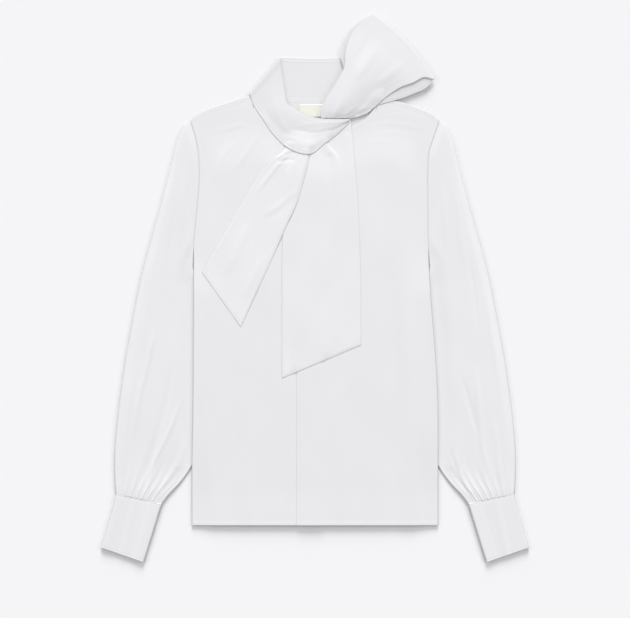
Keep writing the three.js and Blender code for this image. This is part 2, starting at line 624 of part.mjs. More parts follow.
const loopSection = (row) => acrossSection([row.lx, row.ly], [row.rx, row.ry], row, 9);
function bowLoop() {
  const line = new THREE.Vector2(LOOP_FOLD.rx - LOOP_FOLD.lx, LOOP_FOLD.ry - LOOP_FOLD.ly).normalize();
  const under = halved(LOOP_UNDER).map(loopSection);
  layDown(under, TIE);
  const over = halved(LOOP_OVER).map(loopSection);
  const fold = roundFold({
    ends: [
      [LOOP_FOLD.lx, LOOP_FOLD.ly],
      [LOOP_FOLD.rx, LOOP_FOLD.ry],
    ],
    inward: [line.y, -line.x],
    under: LOOP_FOLD.under,
    over: LOOP_FOLD.over,
    crown: LOOP_FOLD.crown,
    count: 9,
    rising: false,
  });
  return wallFrom([...over, ...fold, ...under], TIE);
}

function label() {
  const rows = [0, 0.5, 1].map((share) => {
    const y = LABEL.top - LABEL.height * share;
    return [1, 0.5, 0, -0.5, -1].map((across) => {
      return new THREE.Vector3(across * LABEL.half, y, CLOTH + SEAM + LABEL.thick / 2);
    });
  });
  return wallFrom(rows, LABEL.thick);
}

// Names each piece and gives it the colour of its cloth.
function piece(name, geometry, color = CLOTH_COLOUR, roughness = 0.62) {
  const material = new THREE.MeshStandardMaterial({ color, roughness, metalness: 0 });
  const mesh = new THREE.Mesh(facingOut(geometry), material);
  mesh.name = name;
  return mesh;
}

const blouse = new THREE.Group();
// The body and sleeves, with the label on the back
blouse.add(
  piece("back", back()),
  piece("front_right", frontRight()),
  piece("front_left", frontLeft()),
  piece("sleeve_right", sleeve(-1)),
  piece("sleeve_left", sleeve(1)),
  piece("cuff_right", cuff(-1)),
  piece("cuff_left", cuff(1)),
  piece("label", label(), LABEL_COLOUR, 0.5),
);

// The tie's back and the end that goes under the knot, then the tails, then the wrap over them, then the loop
const aroundNeck = TIE_BACK.map((row) => tieSection({ ...row, flat: true }));
layDown(aroundNeck, TIE);
const underKnot = [...TIE_UNDER.map(tieSection), ...tieFold(1, false)];
layDown(underKnot, TIE);
blouse.add(
  piece("tail_long", tail(TAIL_LONG, LONG_FOLDS, 10)),
  piece("tail_short", tail(TAIL_SHORT, SHORT_FOLDS, 8)),
);
const wrap = [...tieFold(-1, true), ...halved(TIE_WRAP).map(tieSection)];
layDown(wrap, TIE);
blouse.add(
  piece("neck_tie", wallFrom([...underKnot, ...aroundNeck, ...wrap], TIE)),
  piece("bow_loop", bowLoop()),
);

export default blouse;
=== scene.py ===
# %% [markdown]
# # A tie neck blouse, laid flat
# The plain model of the blouse is loaded first, as a frame that never changes. Each piece of cloth
# is then sewn again in fine mesh over its plain solid, with its creases, gathers and stitches.
# All sizes here are millimetres on the laid-out blouse, and turn into metres when a mesh is made.

# %% Load the frame
import math

import bpy
import numpy as np
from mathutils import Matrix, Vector


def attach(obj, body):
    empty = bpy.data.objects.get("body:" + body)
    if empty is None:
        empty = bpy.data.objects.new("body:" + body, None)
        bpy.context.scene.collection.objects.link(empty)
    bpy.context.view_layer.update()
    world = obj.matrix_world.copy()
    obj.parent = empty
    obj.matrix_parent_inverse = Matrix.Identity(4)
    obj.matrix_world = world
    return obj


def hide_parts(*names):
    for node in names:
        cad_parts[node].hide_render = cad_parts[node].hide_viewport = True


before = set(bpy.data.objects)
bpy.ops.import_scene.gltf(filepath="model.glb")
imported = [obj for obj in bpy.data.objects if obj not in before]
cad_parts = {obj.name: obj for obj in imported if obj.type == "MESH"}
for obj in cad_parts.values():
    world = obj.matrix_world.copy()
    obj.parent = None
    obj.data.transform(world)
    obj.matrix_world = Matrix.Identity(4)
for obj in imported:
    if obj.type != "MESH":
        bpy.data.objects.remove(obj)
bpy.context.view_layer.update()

bpy.ops.object.select_all(action="DESELECT")
METRES = 0.001
print("nodes to dress:", ", ".join(sorted(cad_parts)))

# %% [markdown]
# ## Camera
# The blouse was photographed from straight above. A long lens far away keeps its edges parallel,
# as in a catalogue picture, and the picture's width fixes how far up the camera hangs.

# %% Hang the camera
PIXELS_WIDE, PIXEL = 630, 1.6
PICTURE_WIDTH = PIXELS_WIDE * PIXEL
PICTURE_MIDDLE = (0.0, -32.8)
LENS, SENSOR = 100.0, 36.0

camera_height = PICTURE_WIDTH * LENS / SENSOR
camera_place = [METRES * v for v in (*PICTURE_MIDDLE, camera_height)]
bpy.ops.object.camera_add(location=camera_place, rotation=(0, 0, 0))
camera = bpy.context.object
camera.name = "camera"
camera.data.lens = LENS
camera.data.sensor_width = SENSOR
bpy.context.scene.camera = camera
print("camera height in metres:", round(camera_place[2], 3))

# %% [markdown]
# ## Light
# White cloth on a white floor shows only by its shadows. A broad lamp hangs low behind the collar,
# so every lower edge throws a long soft shadow. Two weaker lamps draw a thin one beside both
# sleeves, and a white sky fills in the rest. The Standard view keeps the whites as they are set.

# %% Light the studio
SKY_STRENGTH = 0.47
LAMP_FAR = 2.0  # metres
# name, degrees up, degrees round, spread in degrees, the share of the floor's light
LAMPS = [
    ("lamp_behind", 20, 89, 25, 0.38), ("lamp_right", 30, 22, 22, 0.08),
    ("lamp_left", 30, 160, 22, 0.07)]

for name, up, turn, spread, share in LAMPS:
    up, turn = math.radians(up), math.radians(turn)
    level = math.cos(up)
    shines_from = Vector((level * math.cos(turn), level * math.sin(turn), math.sin(up)))
    bpy.ops.object.light_add(type="SUN", location=shines_from * LAMP_FAR)
    lamp = bpy.context.object
    lamp.name = name
    lamp.rotation_mode = "QUATERNION"
    lamp.rotation_quaternion = (-shines_from).to_track_quat("-Z", "Y")
    lamp.data.energy = share * math.pi / math.sin(up)
    lamp.data.angle = math.radians(spread)
    print(name, "gives", share, "of the floor's light")

sky = bpy.data.worlds.new("studio")
sky.use_nodes = True
sky_light = sky.node_tree.nodes["Background"]
sky_light.inputs["Color"].default_value = (1.0, 1.0, 1.0, 1.0)
sky_light.inputs["Strength"].default_value = SKY_STRENGTH
bpy.context.scene.world = sky
bpy.context.scene.view_settings.view_transform = "Standard"

# %% [markdown]
# ## Writing finishes as sums
# Node trees are easier to read as sums, so a small class holds one socket, and adding or
# multiplying two of them adds the Math node. Every other node comes from one method.

# %% A socket that can be added and multiplied
class Link:
    def __init__(self, finish, socket):
        self.finish, self.socket = finish, socket

    def maths(self, operation, first, second):
        return self.finish.node("ShaderNodeMath", {"operation": operation}, {0: first, 1: second})

    def __add__(self, other):
        return self.maths("ADD", self, other)

    def __radd__(self, other):
        return self.maths("ADD", other, self)

    def __mul__(self, other):
        return self.maths("MULTIPLY", self, other)

    def __rmul__(self, other):
        return self.maths("MULTIPLY", other, self)

    def sine(self):
        return self.maths("SINE", self, 0.0)


class Finish:
    def __init__(self, name):
        self.material = bpy.data.materials.new(name)
        self.material.use_nodes = True
        self.nodes = self.material.node_tree.nodes
        self.nodes.clear()

    def node(self, kind, settings=None, sockets=None, output=0):
        made = self.nodes.new(kind)
        for name, value in (settings or {}).items():
            setattr(made, name, value)
        for name, value in (sockets or {}).items():
            if isinstance(value, Link):
                self.material.node_tree.links.new(value.socket, made.inputs[name])
            else:
                made.inputs[name].default_value = value
        return Link(self, made.outputs[output] if len(made.outputs) else None)

    def weave(self):
        """How far across and along the cut cloth each point is, in metres."""
        place = self.node("ShaderNodeUVMap", {"uv_map": "weave"})
        return [self.node("ShaderNodeSeparateXYZ", {}, {"Vector": place}, output=k) for k in (0, 1)]

    def bump(self, strength, distance, height):
        return self.node("ShaderNodeBump", {}, {
            "Strength": strength, "Distance": distance, "Height": height})

    def surface(self, sockets):
        shader = self.node("ShaderNodeBsdfPrincipled", {}, sockets)
        self.node("ShaderNodeOutputMaterial", {}, {"Surface": shader})
        print("finish:", self.material.name, "with", len(self.nodes), "nodes")
        return self.material

# %% [markdown]
# ## Silk crepe
# The blouse is matt white silk crepe. Its threads are twisted hard, so a plain weave of them
# crinkles into tiny pebbles that scatter the light. The threads follow each piece's own map, in
# metres, so they run along the cloth, and the pebbles and faint mottling come from noise in space.
# Shade is painted into the colour along edges, seams and folds, where the tie stands steep and over
# some whole pieces: how deep, from 0 to 1, is kept on the mesh as a point attribute.

# %% Make the silk
THREAD = 0.00042  # metres from one thread to the next
SILK_COLOUR = (0.85, 0.85, 0.868)
PEBBLE_DEPTH = 0.00006  # metres
DEEPEST_PAINTED_SHADE = 0.5  # how bright the cloth is where the painted shade is deepest, against its own colour


def silk_crepe(name, colour, thread_depth):
    silk = Finish(name)
    place = silk.node("ShaderNodeTexCoord", output=3)
    across, along = silk.weave()
    turn = 2 * math.pi / THREAD
    uneven = silk.node("ShaderNodeTexNoise", {}, {"Vector": place, "Scale": 260.0, "Detail": 1.0})
    warp = (across * turn + uneven * 2.2).sine()
    weft = (along * turn + uneven * 2.6).sine()
    pebbles = silk.node("ShaderNodeTexNoise", {}, {"Vector": place, "Scale": 1250.0, "Detail": 2.0})
    bump = silk.bump(0.55, thread_depth, pebbles * 1.4 + warp * 0.16 + weft * 0.16)
    mottle = silk.node("ShaderNodeTexNoise", {}, {
        "Vector": place, "Scale": 9.0, "Detail": 3.0, "Roughness": 0.5})
    shade = silk.node("ShaderNodeMix", {"data_type": "RGBA"}, {
        "Factor": mottle, 6: [v * 0.985 for v in colour] + [1.0], 7: [*colour, 1.0]}, output=2)
    # painted shade: a point attribute on the mesh darkens the colour, at most to half
    painted_shade = silk.node("ShaderNodeAttribute", {"attribute_name": "painted_shade"}, output=2)
    shade = silk.node("ShaderNodeMix", {"data_type": "RGBA"}, {
        "Factor": painted_shade, 6: shade, 7: [v * DEEPEST_PAINTED_SHADE for v in colour] + [1.0]}, output=2)
    return silk.surface({
        "Base Color": shade,
        "Roughness": 0.56 + mottle * 0.16,
        "Normal": bump,
        "Specular IOR Level": 0.22,
        "Sheen Weight": 0.12,
        "Sheen Roughness": 0.45,
    })

silk = silk_crepe("silk_crepe", SILK_COLOUR, PEBBLE_DEPTH)

# %% [markdown]
# The thread is spun silk, a shade brighter than the cloth and a little glossier, with its two plies
# wound round each other. The label is a tight satin, ivory and bare.

# %% Make the thread, the label and the floor
def sewing_thread():
    thread = Finish("sewing_thread")
    place = thread.node("ShaderNodeTexCoord", output=3)
    plies = thread.node("ShaderNodeTexWave", {"bands_direction": "DIAGONAL"}, {
        "Vector": place, "Scale": 900.0})
    return thread.surface({
        "Base Color": (0.86, 0.86, 0.872, 1.0),
        "Roughness": 0.42 + plies * 0.1,
        "Normal": thread.bump(0.4, 0.00003, plies),
    })


def label_satin():
    satin = Finish("label_satin")
    across, along = satin.weave()
    rib, float_length = 0.0003, 0.0009  # metres
    ribs = (along * (2 * math.pi / rib)).sine()
    ribs = ribs + (across * (2 * math.pi / float_length)).sine() * 0.4
    return satin.surface({
        "Base Color": (0.92, 0.91, 0.83, 1.0),
        "Roughness": 0.38 + ribs * 0.03,
        "Normal": satin.bump(0.3, 0.00004, ribs),
        "Sheen Weight": 0.1,
    })


def studio_paper():
    sheet = Finish("studio_paper")
    place = sheet.node("ShaderNodeTexCoord", output=3)
    grain = sheet.node("ShaderNodeTexNoise", {}, {"Vector": place, "Scale": 600.0})
    return sheet.surface({
        "Base Color": (0.914, 0.914, 0.93, 1.0),
        "Roughness": 0.86 + grain * 0.08,
        "Specular IOR Level": 0.1,
    })

thread = sewing_thread()
satin = label_satin()

FLOOR_SIZE, FLOOR_BELOW = 40.0, 0.0003  # metres
bpy.ops.mesh.primitive_plane_add(size=FLOOR_SIZE, location=(0, 0, -FLOOR_BELOW))
floor = bpy.context.object
floor.name = "floor"
bpy.ops.object.transform_apply(location=True, rotation=False, scale=True)
floor.data.materials.append(studio_paper())

# %% [markdown]
# ## Curves through short tables
# A garment is cut from a few measured places with smooth lines between them. These helpers draw
# those lines: a smooth curve through a table, a soft step, and a soft ridge.

# %% Smooth lines
def mix(a, b, share):
    return a + (b - a) * share


def soft_step(low, high, value):
    t = np.clip((value - low) / (high - low), 0, 1)
    return t * t * (3 - 2 * t)


def ridge(distance, half):
    """A soft rounded ridge, one high and half wide to each side."""
    near = np.abs(distance) < half
    return np.where(near, 0.5 + 0.5 * np.cos(np.pi * distance / half), 0)


def through(table, at, places=None):
    """A smooth curve through the rows of a table, read at numbers of rows or at places."""
    table = np.asarray(table, float)
    places = np.arange(len(table)) if places is None else np.asarray(places, float)
    slopes = np.empty_like(table)
    spans = np.diff(places)
    shape = (-1,) + (1,) * (table.ndim - 1)
    slopes[1:-1] = (table[2:] - table[:-2]) / (places[2:] - places[:-2]).reshape(shape)
    slopes[0] = (table[1] - table[0]) / spans[0]
    slopes[-1] = (table[-1] - table[-2]) / spans[-1]
    at = np.clip(np.asarray(at, float), places[0], places[-1])
    k = np.clip(np.searchsorted(places, at, side="right") - 1, 0, len(places) - 2)
    wide = at.shape + (1,) * (table.ndim - 1)
    span = spans[k].reshape(wide)
    t = ((at - places[k]) / spans[k]).reshape(wide)
    return (
        (2 * t**3 - 3 * t**2 + 1) * table[k]
        + (t**3 - 2 * t**2 + t) * slopes[k] * span
        + (3 * t**2 - 2 * t**3) * table[k + 1]
        + (t**3 - t**2) * slopes[k + 1] * span
    )


def length_along(points):
    """How far along its line each point is. A grid has one line for each column."""
    steps = np.linalg.norm(np.diff(points, axis=0), axis=-1)
    return np.concatenate([0 * steps[:1], np.cumsum(steps, axis=0)])


EDGE_PLACES = np.array([0, 0.1, 0.28, 0.5, 0.9, 1.5])
PLAIN_END = np.array([0.0])
AROUND_FINE = (-1.2, -0.7, -0.35, 0, 0.35, 0.7, 1.2)


def stations(length, step, fine=(), low=EDGE_PLACES, high=EDGE_PLACES):
    """Places along a length, a step apart, and closer at both ends and round the fine places."""
    middle = np.linspace(low[-1], length - high[-1], max(2, round(length / step)))
    around = [place + offset for place in fine for offset in AROUND_FINE]
    found = np.sort(np.concatenate([low, middle, length - high, np.array(around)]))
    found = found[np.concatenate([[True], np.diff(found) > 0.05])]
    found[-1] = length
    return found

# %% [markdown]
# ## Creases placed one by one
# A crease is a soft ridge or trough along a line that is drawn on the blouse. It is steeper
# on the side where the cloth folds over, so each has two half widths, and it fades at its ends.

# %% Creases
def crease_relief(x, y, creases):
    """The height that creases add. Each is (rise, left half, right half, fade, path)."""
    total = np.zeros(x.shape)
    for rise, left, right, fade, path in creases:
        steps = 6 * (len(path) - 1) + 1
        line = through(path, np.linspace(0, len(path) - 1, steps))
        reach = max(left, right)
        low, high = line.min(axis=0) - reach, line.max(axis=0) + reach
        near = (x > low[0]) & (x < high[0]) & (y > low[1]) & (y < high[1])
        if not near.any():
            continue
        px, py = x[near], y[near]
        nearest = np.full(px.shape, np.inf)
        side, share = np.zeros(px.shape), np.zeros(px.shape)
        for k in range(steps - 1):
            start, along = line[k], line[k + 1] - line[k]
            t = ((px - start[0]) * along[0] + (py - start[1]) * along[1]) / (along @ along)
            t = np.clip(t, 0, 1)
            dx, dy = px - start[0] - t * along[0], py - start[1] - t * along[1]
            distance = np.hypot(dx, dy)
            closer = distance < nearest
            nearest = np.where(closer, distance, nearest)
            side = np.where(closer, dx * along[1] - dy * along[0], side)
            share = np.where(closer, (k + t) / (steps - 1), share)
        half = np.where(side > 0, right, left)
        taper = soft_step(0, fade[0], share) * (1 - soft_step(1 - fade[1], 1, share))
        total[near] += rise * taper * ridge(nearest, half)
    return total


def soft_waves(x, y, height):
    """The slight unevenness of cloth that has been smoothed by hand."""
    return height * (
        np.sin(x / 17.3 + y / 61 + 0.4) * np.sin(y / 29.7 - x / 83)
        + 0.6 * np.sin(x / 9.1 - y / 47 + 1.9) * np.sin(y / 41 + x / 33 + 0.7)
        + 0.5 * np.sin((x + y) / 37 + 2.6)
    )

# %% [markdown]
# ## From points to cloth
# A sheet is a grid of points in the middle of the cloth. Its two faces stand off along the normal
# and meet at the rim, so every edge is round like a turned edge. A sleeve is a grid that closes.
# The map called weave holds each point's place on the cut cloth in metres.

# %% Build a mesh piece
def normals_of(grid):
    along = np.gradient(grid, axis=0)
    across = np.gradient(grid, axis=1)
    normal = np.cross(across, along)
    return normal / np.maximum(np.linalg.norm(normal, axis=-1, keepdims=True), 1e-9)


def corners_of(number):
    """Each square's four corners in a grid of numbers."""
    return np.stack([number[:-1, :-1], number[:-1, 1:], number[1:, 1:], number[1:, :-1]], axis=-1)


# painted shade laid over a whole piece, making it greyer like cloth that lies close on the cloth
# below
PIECE_PAINTED_SHADE = {
    "back_cloth": 0.024, "front_right_cloth": 0.042, "front_left_cloth": 0.042,
    "sleeve_right_cloth": 0.034, "sleeve_left_cloth": 0.032, "cuff_right_cloth": 0.06,
    "cuff_left_cloth": 0.055, "neck_tie_cloth": 0.055, "tail_long_cloth": 0.028}
pieces = {}


def add_piece(name, points, faces, corner_map, material, painted_shade=None):
    a, b, c, d = (points[faces[:, k]] for k in range(4))
    volume = (a * np.cross(b, c)).sum() + (a * np.cross(c, d)).sum()
    if volume < 0:
        faces, corner_map = faces[:, ::-1], corner_map[:, ::-1]
    mesh = bpy.data.meshes.new(name)
    mesh.from_pydata((points * METRES).tolist(), [], faces.tolist())
    layer = mesh.uv_layers.new(name="weave")
    layer.data.foreach_set("uv", (corner_map * METRES).ravel())
    # painted shade, with the piece's own share added, kept as a point attribute
    if painted_shade is not None:
        painted_shade = np.clip(painted_shade + PIECE_PAINTED_SHADE.get(name, 0), 0, 1)
        mesh.attributes.new("painted_shade", "FLOAT", "POINT").data.foreach_set("value", painted_shade)
    mesh.shade_smooth()
    mesh.materials.append(material)
    obj = bpy.data.objects.new(name, mesh)
    bpy.context.scene.collection.objects.link(obj)
    pieces[name] = obj
    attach(obj, "root")
    area = sum(polygon.area for polygon in mesh.polygons) / 2
    size = f"{points[:, 2].max():.1f} mm high, {area:.4f} square metres"
    print(f"{name}: {2 * len(faces)} triangles, {size}")
    return obj


def near_edge(distance, reach):
    """One at the very edge, a third just inside it, and nothing beyond the reach."""
    line = 1 - soft_step(0.1, 0.8, distance)
    return 0.65 * line + 0.35 * (1 - soft_step(0.2, reach, distance))


def patch(number, places, flipped=True):
    """The squares of a grid of point numbers, with their places on the cut cloth."""
    faces = corners_of(number).reshape(-1, 4)
    corners = np.stack([corners_of(places[..., k]).reshape(-1, 4) for k in (0, 1)], axis=-1)
    return (faces[:, ::-1], corners[:, ::-1]) if flipped else (faces, corners)


def sew(name, points, patches, painted_shade, material):
    faces, corner_map = (np.concatenate(part) for part in zip(*patches))
    return add_piece(name, points, faces, corner_map, material, painted_shade)

# %% Sheets and tubes
def sheet_piece(name, top, under, places, painted_shade, material=silk):
    """A closed sheet from its upper and lower face, which meet at the rim."""
    rows, columns = top.shape[:2]
    upper = np.arange(rows * columns).reshape(rows, columns)
    lower = upper.copy()
    inner = (rows - 2) * (columns - 2)
    lower[1:-1, 1:-1] = rows * columns + np.arange(inner).reshape(rows - 2, columns - 2)
    points = np.concatenate([top.reshape(-1, 3), under[1:-1, 1:-1].reshape(-1, 3)])
    painted_shade = np.concatenate([painted_shade.ravel(), painted_shade[1:-1, 1:-1].ravel()])
    patches = [patch(upper, places, flipped=False), patch(lower, places)]
    return sew(name, points, patches, painted_shade, material)


def tube_piece(name, outer, inner, places, painted_shade):
    """A closed wall round a tube: rings of outer and inner points, joined at both ends."""
    rings, count = outer.shape[:2]
    number = np.arange(rings * count).reshape(rings, count)
    closed = np.concatenate([number, number[:, :1]], axis=1)
    hidden = closed + rings * count
    points = np.concatenate([outer.reshape(-1, 3), inner.reshape(-1, 3)])
    painted_shade = np.concatenate([painted_shade.ravel(), 0 * painted_shade.ravel()])
    patches = [
        patch(closed, places, flipped=False), patch(hidden, places),
        patch(np.stack([closed[0], hidden[0]]), places[[0, 0]]),
        patch(np.stack([hidden[-1], closed[-1]]), places[[-1, -1]])]
    return sew(name, points, patches, painted_shade, silk)


def round_edge(distance, thick):
    """Half the thickness of cloth near its rim, where it turns round."""
    radius = min(0.5, thick / 2)
    inside = np.clip(distance / radius, 0, 1)
    half = thick / 2 * np.sqrt(1 - (1 - inside) ** 2)
    half[[0, -1], :] = 0
    half[:, [0, -1]] = 0
    return half

# %% [markdown]
# ## The pile
# Laid-out cloth lies on the cloth below. The pile is a map of how high the layers are so far, one
# cell a millimetre. A new piece reads it after it has been widened and smoothed, which is how a
# stiff little cloth spans an edge below it and falls away gently.

# %% Heights of what is laid down
PILE_LEFT, PILE_LOW, PILE_WIDE, PILE_DEEP = -380, -470, 760, 960
pile = np.zeros((PILE_DEEP, PILE_WIDE))


def finer(grid, times):
    """The grid with more rows and columns, on straight lines between its own."""
    for axis in (0, 1):
        grid = np.moveaxis(grid, axis, 0)
        at = np.linspace(0, len(grid) - 1, times * (len(grid) - 1) + 1)
        k = np.minimum(at.astype(int), len(grid) - 2)
        share = (at - k).reshape((-1,) + (1,) * (grid.ndim - 1))
        grid = np.moveaxis(mix(grid[k], grid[k + 1], share), 0, axis)
    return grid


def lay_down(top):
    """Adds a piece's upper face to the pile."""
    fine = finer(top, 4)
    row = np.clip(np.rint(fine[..., 1] - PILE_LOW).astype(int), 0, PILE_DEEP - 1)
    column = np.clip(np.rint(fine[..., 0] - PILE_LEFT).astype(int), 0, PILE_WIDE - 1)
    np.maximum.at(pile, (row, column), fine[..., 2])


def spanning(field, reach, smoothed):
    """The pile as cloth rests on it: widened by a reach, then smoothed a number of times."""
    for _ in range(reach):
        wide = np.maximum(np.maximum(field, np.roll(field, 1, 0)), np.roll(field, -1, 0))
        field = np.maximum(np.maximum(wide, np.roll(wide, 1, 1)), np.roll(wide, -1, 1))
    for _ in range(smoothed):
        beside = sum(np.roll(field, step, axis) for step in (1, -1) for axis in (0, 1))
        field = (field + beside) / 5
    return field


def lying_close():
    """The pile as the edge of a cloth lies on it."""
    return spanning(pile, 2, 4)


def read_height(field, x, y):
    column = np.clip(x - PILE_LEFT, 0, PILE_WIDE - 1.001)
    row = np.clip(y - PILE_LOW, 0, PILE_DEEP - 1.001)
    i, j = row.astype(int), column.astype(int)
    fy, fx = row - i, column - j
    low = mix(field[i, j], field[i, j + 1], fx)
    high = mix(field[i + 1, j], field[i + 1, j + 1], fx)
    return mix(low, high, fy)

# %% [markdown]
# ## The body's lines
# Front and back share their outline: straight sides, slightly in at the waist, an armhole with
# little curve and a sloping shoulder. The fronts stand a little off the back, because air stays
# between laid-out layers, and near the sides the whole body rises over the sleeves' inner edges.

# %% Measures of the body
WALL, GAP = 1.2, 0.3  # the plain solids' walls and the gaps between them
CLOTH = 0.55  # crepe with a little air
TABLE_GAP = 0.03  # under all that rests on the table
HEM_Y, HEM_FOLD, HEM_STANDS = -378.4, 5.0, 0.5
SHOULDER_TIP = (199.2, 268.0)
UNDERARM = 60.0
NECK_HALF, NECK_Y, FRONT_SCOOP, BACK_SCOOP = 100.0, 309.0, 62.0, 12.0
# the left front's folded edge, the right front's edge under it, and the stitching inside the fold
STAND_EDGE, STAND_UNDER, STAND_STITCH = -29.6, 3.0, 7.4
BODY_PUFF = 1.9  # how far the fronts stand off the back
SEAM_RISE, SEAM_DROP = 0.66, 0.75  # how far back and fronts come together at their seams
# height of a sleeve at its outer fold, where it is tucked under the body, and where it is free
EDGE_HEIGHT, TUCKED_EDGE, FREE_EDGE, OVER_TUCK = 3.7, 1.5, 3.3, 0.4
NECK_SLOPE = 0.22  # the shoulder's slope, carried on across the neck

# height, half width on the left as seen, half width on the right
BODY = np.array([
    (-378.4, 197, 197), (-290, 197, 197), (-180, 195.2, 196.4), (-98, 194.8, 192),
    (-18, 194.4, 185.6), (62, 194, 181.4), (118, 189.6, 180.2), (150, 186.4, 180),
    (182, 184.8, 180), (214, 186.4, 181.6), (238, 190.5, 188.8), (268, 199.2, 199.2)])
SHOULDER = np.array([
    (100, 309), (112, 306.4), (137.6, 298.4), (166.4, 288.8), (187, 279), (199.2, 268)])


def half_width(side, y):
    return through(BODY[:, 1 if side < 0 else 2], y, BODY[:, 0])


def top_edge(x, scoop):
    out = np.abs(x)
    neck = NECK_Y - scoop * np.sqrt(np.maximum(0, 1 - (out / NECK_HALF) ** 2))
    return np.where(out < NECK_HALF, neck, through(SHOULDER[:, 1], out, SHOULDER[:, 0]))


def shoulder_line(x):
    """The shoulder's slope, carried on straight across the neck opening."""
    out = np.abs(x)
    beyond = np.maximum(NECK_HALF - out, 0) * NECK_SLOPE
    return through(SHOULDER[:, 1], np.maximum(out, NECK_HALF), SHOULDER[:, 0]) + beyond


def from_side(x, y):
    """How far inside the body's side edge a place is."""
    return np.where(x < 0, half_width(-1, y), half_width(1, y)) - np.abs(x)


def lift(x, y):
    """How far the body rises over the sleeves' inner edges."""
    over = 1 - soft_step(24, 76, from_side(x, y))
    along = (1 - soft_step(-20, 62, y)) * soft_step(-376, -220, y)
    return (TUCKED_EDGE + OVER_TUCK) * over * along

# %% [markdown]
# ## Creases of the fronts
# Broad soft flutes run down both fronts from the bust to the hem, and fine drag lines cross the
# shoulders where the tie's weight pulls. They were placed one by one, each with its own width and
# rise.

# %% Place the fronts' creases
# rise, half width on the left and right, fade at each end, path from the top down
FRONT_CREASES = [
    (0.75, 22, 16, (0.3, 0.05), [(-106, 170), (-112, 20), (-117, -150), (-113, -400)]),
    (-0.5, 14, 18, (0.3, 0.05), [(-150, 110), (-146, -80), (-149, -230), (-146, -400)]),
    (-0.45, 12, 16, (0.4, 0.05), [(-86, 40), (-77, -120), (-74, -260), (-77, -400)]),
    (0.45, 14, 10, (0.3, 0.05), [(-47, -90), (-43, -220), (-44, -400)]),
    (0.5, 12, 9, (0.3, 0.3), [(-178, 20), (-181, -120), (-176, -260), (-180, -380)]),
    (0.3, 7, 9, (0.3, 0.5), [(-132, -210), (-128, -290), (-131, -360)]),
    (0.5, 24, 26, (0.3, 0.05), [(34, -120), (40, -240), (46, -400)]),
    (0.6, 22, 26, (0.3, 0.05), [(92, 190), (98, 20), (95, -160), (90, -400)]),
    (-0.4, 12, 16, (0.3, 0.1), [(120, 80), (127, -120), (124, -280), (128, -400)]),
    (0.65, 18, 22, (0.3, 0.05), [(150, 150), (148, -60), (154, -220), (151, -400)]),
    (0.3, 8, 7, (0.4, 0.5), [(172, -60), (170, -190), (175, -330)]),
    (0.13, 3, 5, (0.2, 0.4), [(72, 256), (118, 264), (160, 259), (190, 244)]),
    (0.11, 3, 4, (0.2, 0.5), [(84, 243), (126, 250), (168, 242), (188, 231)]),
    (0.08, 3, 4, (0.3, 0.4), [(104, 277), (140, 277), (176, 264)]),
    (0.08, 4, 4, (0.3, 0.5), [(70, 231), (110, 236), (150, 226)]),
    (0.24, 4, 5, (0.3, 0.5), [(-104, 262), (-132, 258), (-170, 244)]),
    (0.3, 5, 7, (0.2, 0.5), [(-88, 250), (-110, 214), (-138, 176)]),
    (0.2, 5, 6, (0.3, 0.5), [(-120, 240), (-150, 206), (-168, 150)]),
]
# place, half width and rise
FLUTES = [(-168, 20, 0.4), (-74, 22, 0.3), (40, 30, 0.4), (150, 24, 0.4)]
# how far the turnings of the shoulder and side seams reach in
SHOULDER_TURNING, SIDE_TURNING = 9.6, 3.4


def hem_relief(hem):
    """The turned hem's thickness and its line of stitching, at a distance above the hem."""
    doubled = 0.1 * (1 - soft_step(HEM_FOLD - 0.6, HEM_FOLD + 1.4, hem))
    stitched = 0.05 * ridge(hem - HEM_FOLD + 0.5, 0.8)
    return doubled - stitched + HEM_STANDS * (1 - soft_step(0, 60, hem))


def front_top(x, y):
    """The height of the fronts' upper face, without the button stand's step."""
    side, shoulder, hem = from_side(x, y), shoulder_line(x) - y, y - HEM_Y
    dip = 0.5 + 0.5 * np.cos(np.pi * np.minimum(np.abs(x) / 112, 1))
    below = shoulder - FRONT_SCOOP * dip
    free = soft_step(2, 46, side) * soft_step(40, 110, below)
    flutes = sum(rise * ridge(x - at, half) for at, half, rise in FLUTES)
    air = np.hypot(lift(x, y), free * (BODY_PUFF + soft_step(-60, 80, hem) * flutes))
    loose = soft_step(0, 14, side) * soft_step(4, 24, below) * mix(0.35, 1, soft_step(0, 80, hem))
    creased = loose * (crease_relief(x, y, FRONT_CREASES) + soft_waves(x, y, 0.11))
    on_shoulder = soft_step(NECK_HALF - 8, NECK_HALF + 2, np.abs(x))
    turnings = 0.16 * ridge(side - SIDE_TURNING, 1.4)
    turnings = turnings - 0.08 * on_shoulder * ridge(shoulder - SHOULDER_TURNING, 1.1)
    return 2 * WALL + GAP + air + creased + turnings + hem_relief(hem)


def closing(x, y, scoop):
    """Near one at the side seams and shoulders, where front and back meet."""
    sides = 1 - soft_step(0, 1.3, from_side(x, y))
    sides = sides * (1 - 0.6 * soft_step(44, UNDERARM, y))
    shoulders = 1 - soft_step(0, 1.1, top_edge(x, scoop) - y)
    shoulders = shoulders * soft_step(NECK_HALF - 2, NECK_HALF + 1, np.abs(x))
    return np.maximum(sides, shoulders)

# %% [markdown]
# ## Cutting a panel
# A panel's grid runs with its cut: rows go from the hem to the neckline and shoulder, and columns
# from the middle to the side seam, closer together where a seam or a fold has to show.

# %% Cut a panel
def panel_columns(start, end, step):
    """Places across a panel, closer at both ends, at the side turnings and at the neck points."""
    turned = SHOULDER_TIP[0] - SIDE_TURNING
    fine = [place - start for place in (-turned, turned) if start < place < end]
    found = start + stations(end - start, step, fine)
    steep = NECK_HALF * np.sin(np.radians(np.arange(54, 94, 4)))
    for side in (-1, 1):
        if start < side * NECK_HALF < end:
            between = (found * side > steep[0]) & (found * side < steep[-1] + 0.5)
            found = np.concatenate([found[~between], side * steep])
    return np.sort(found)


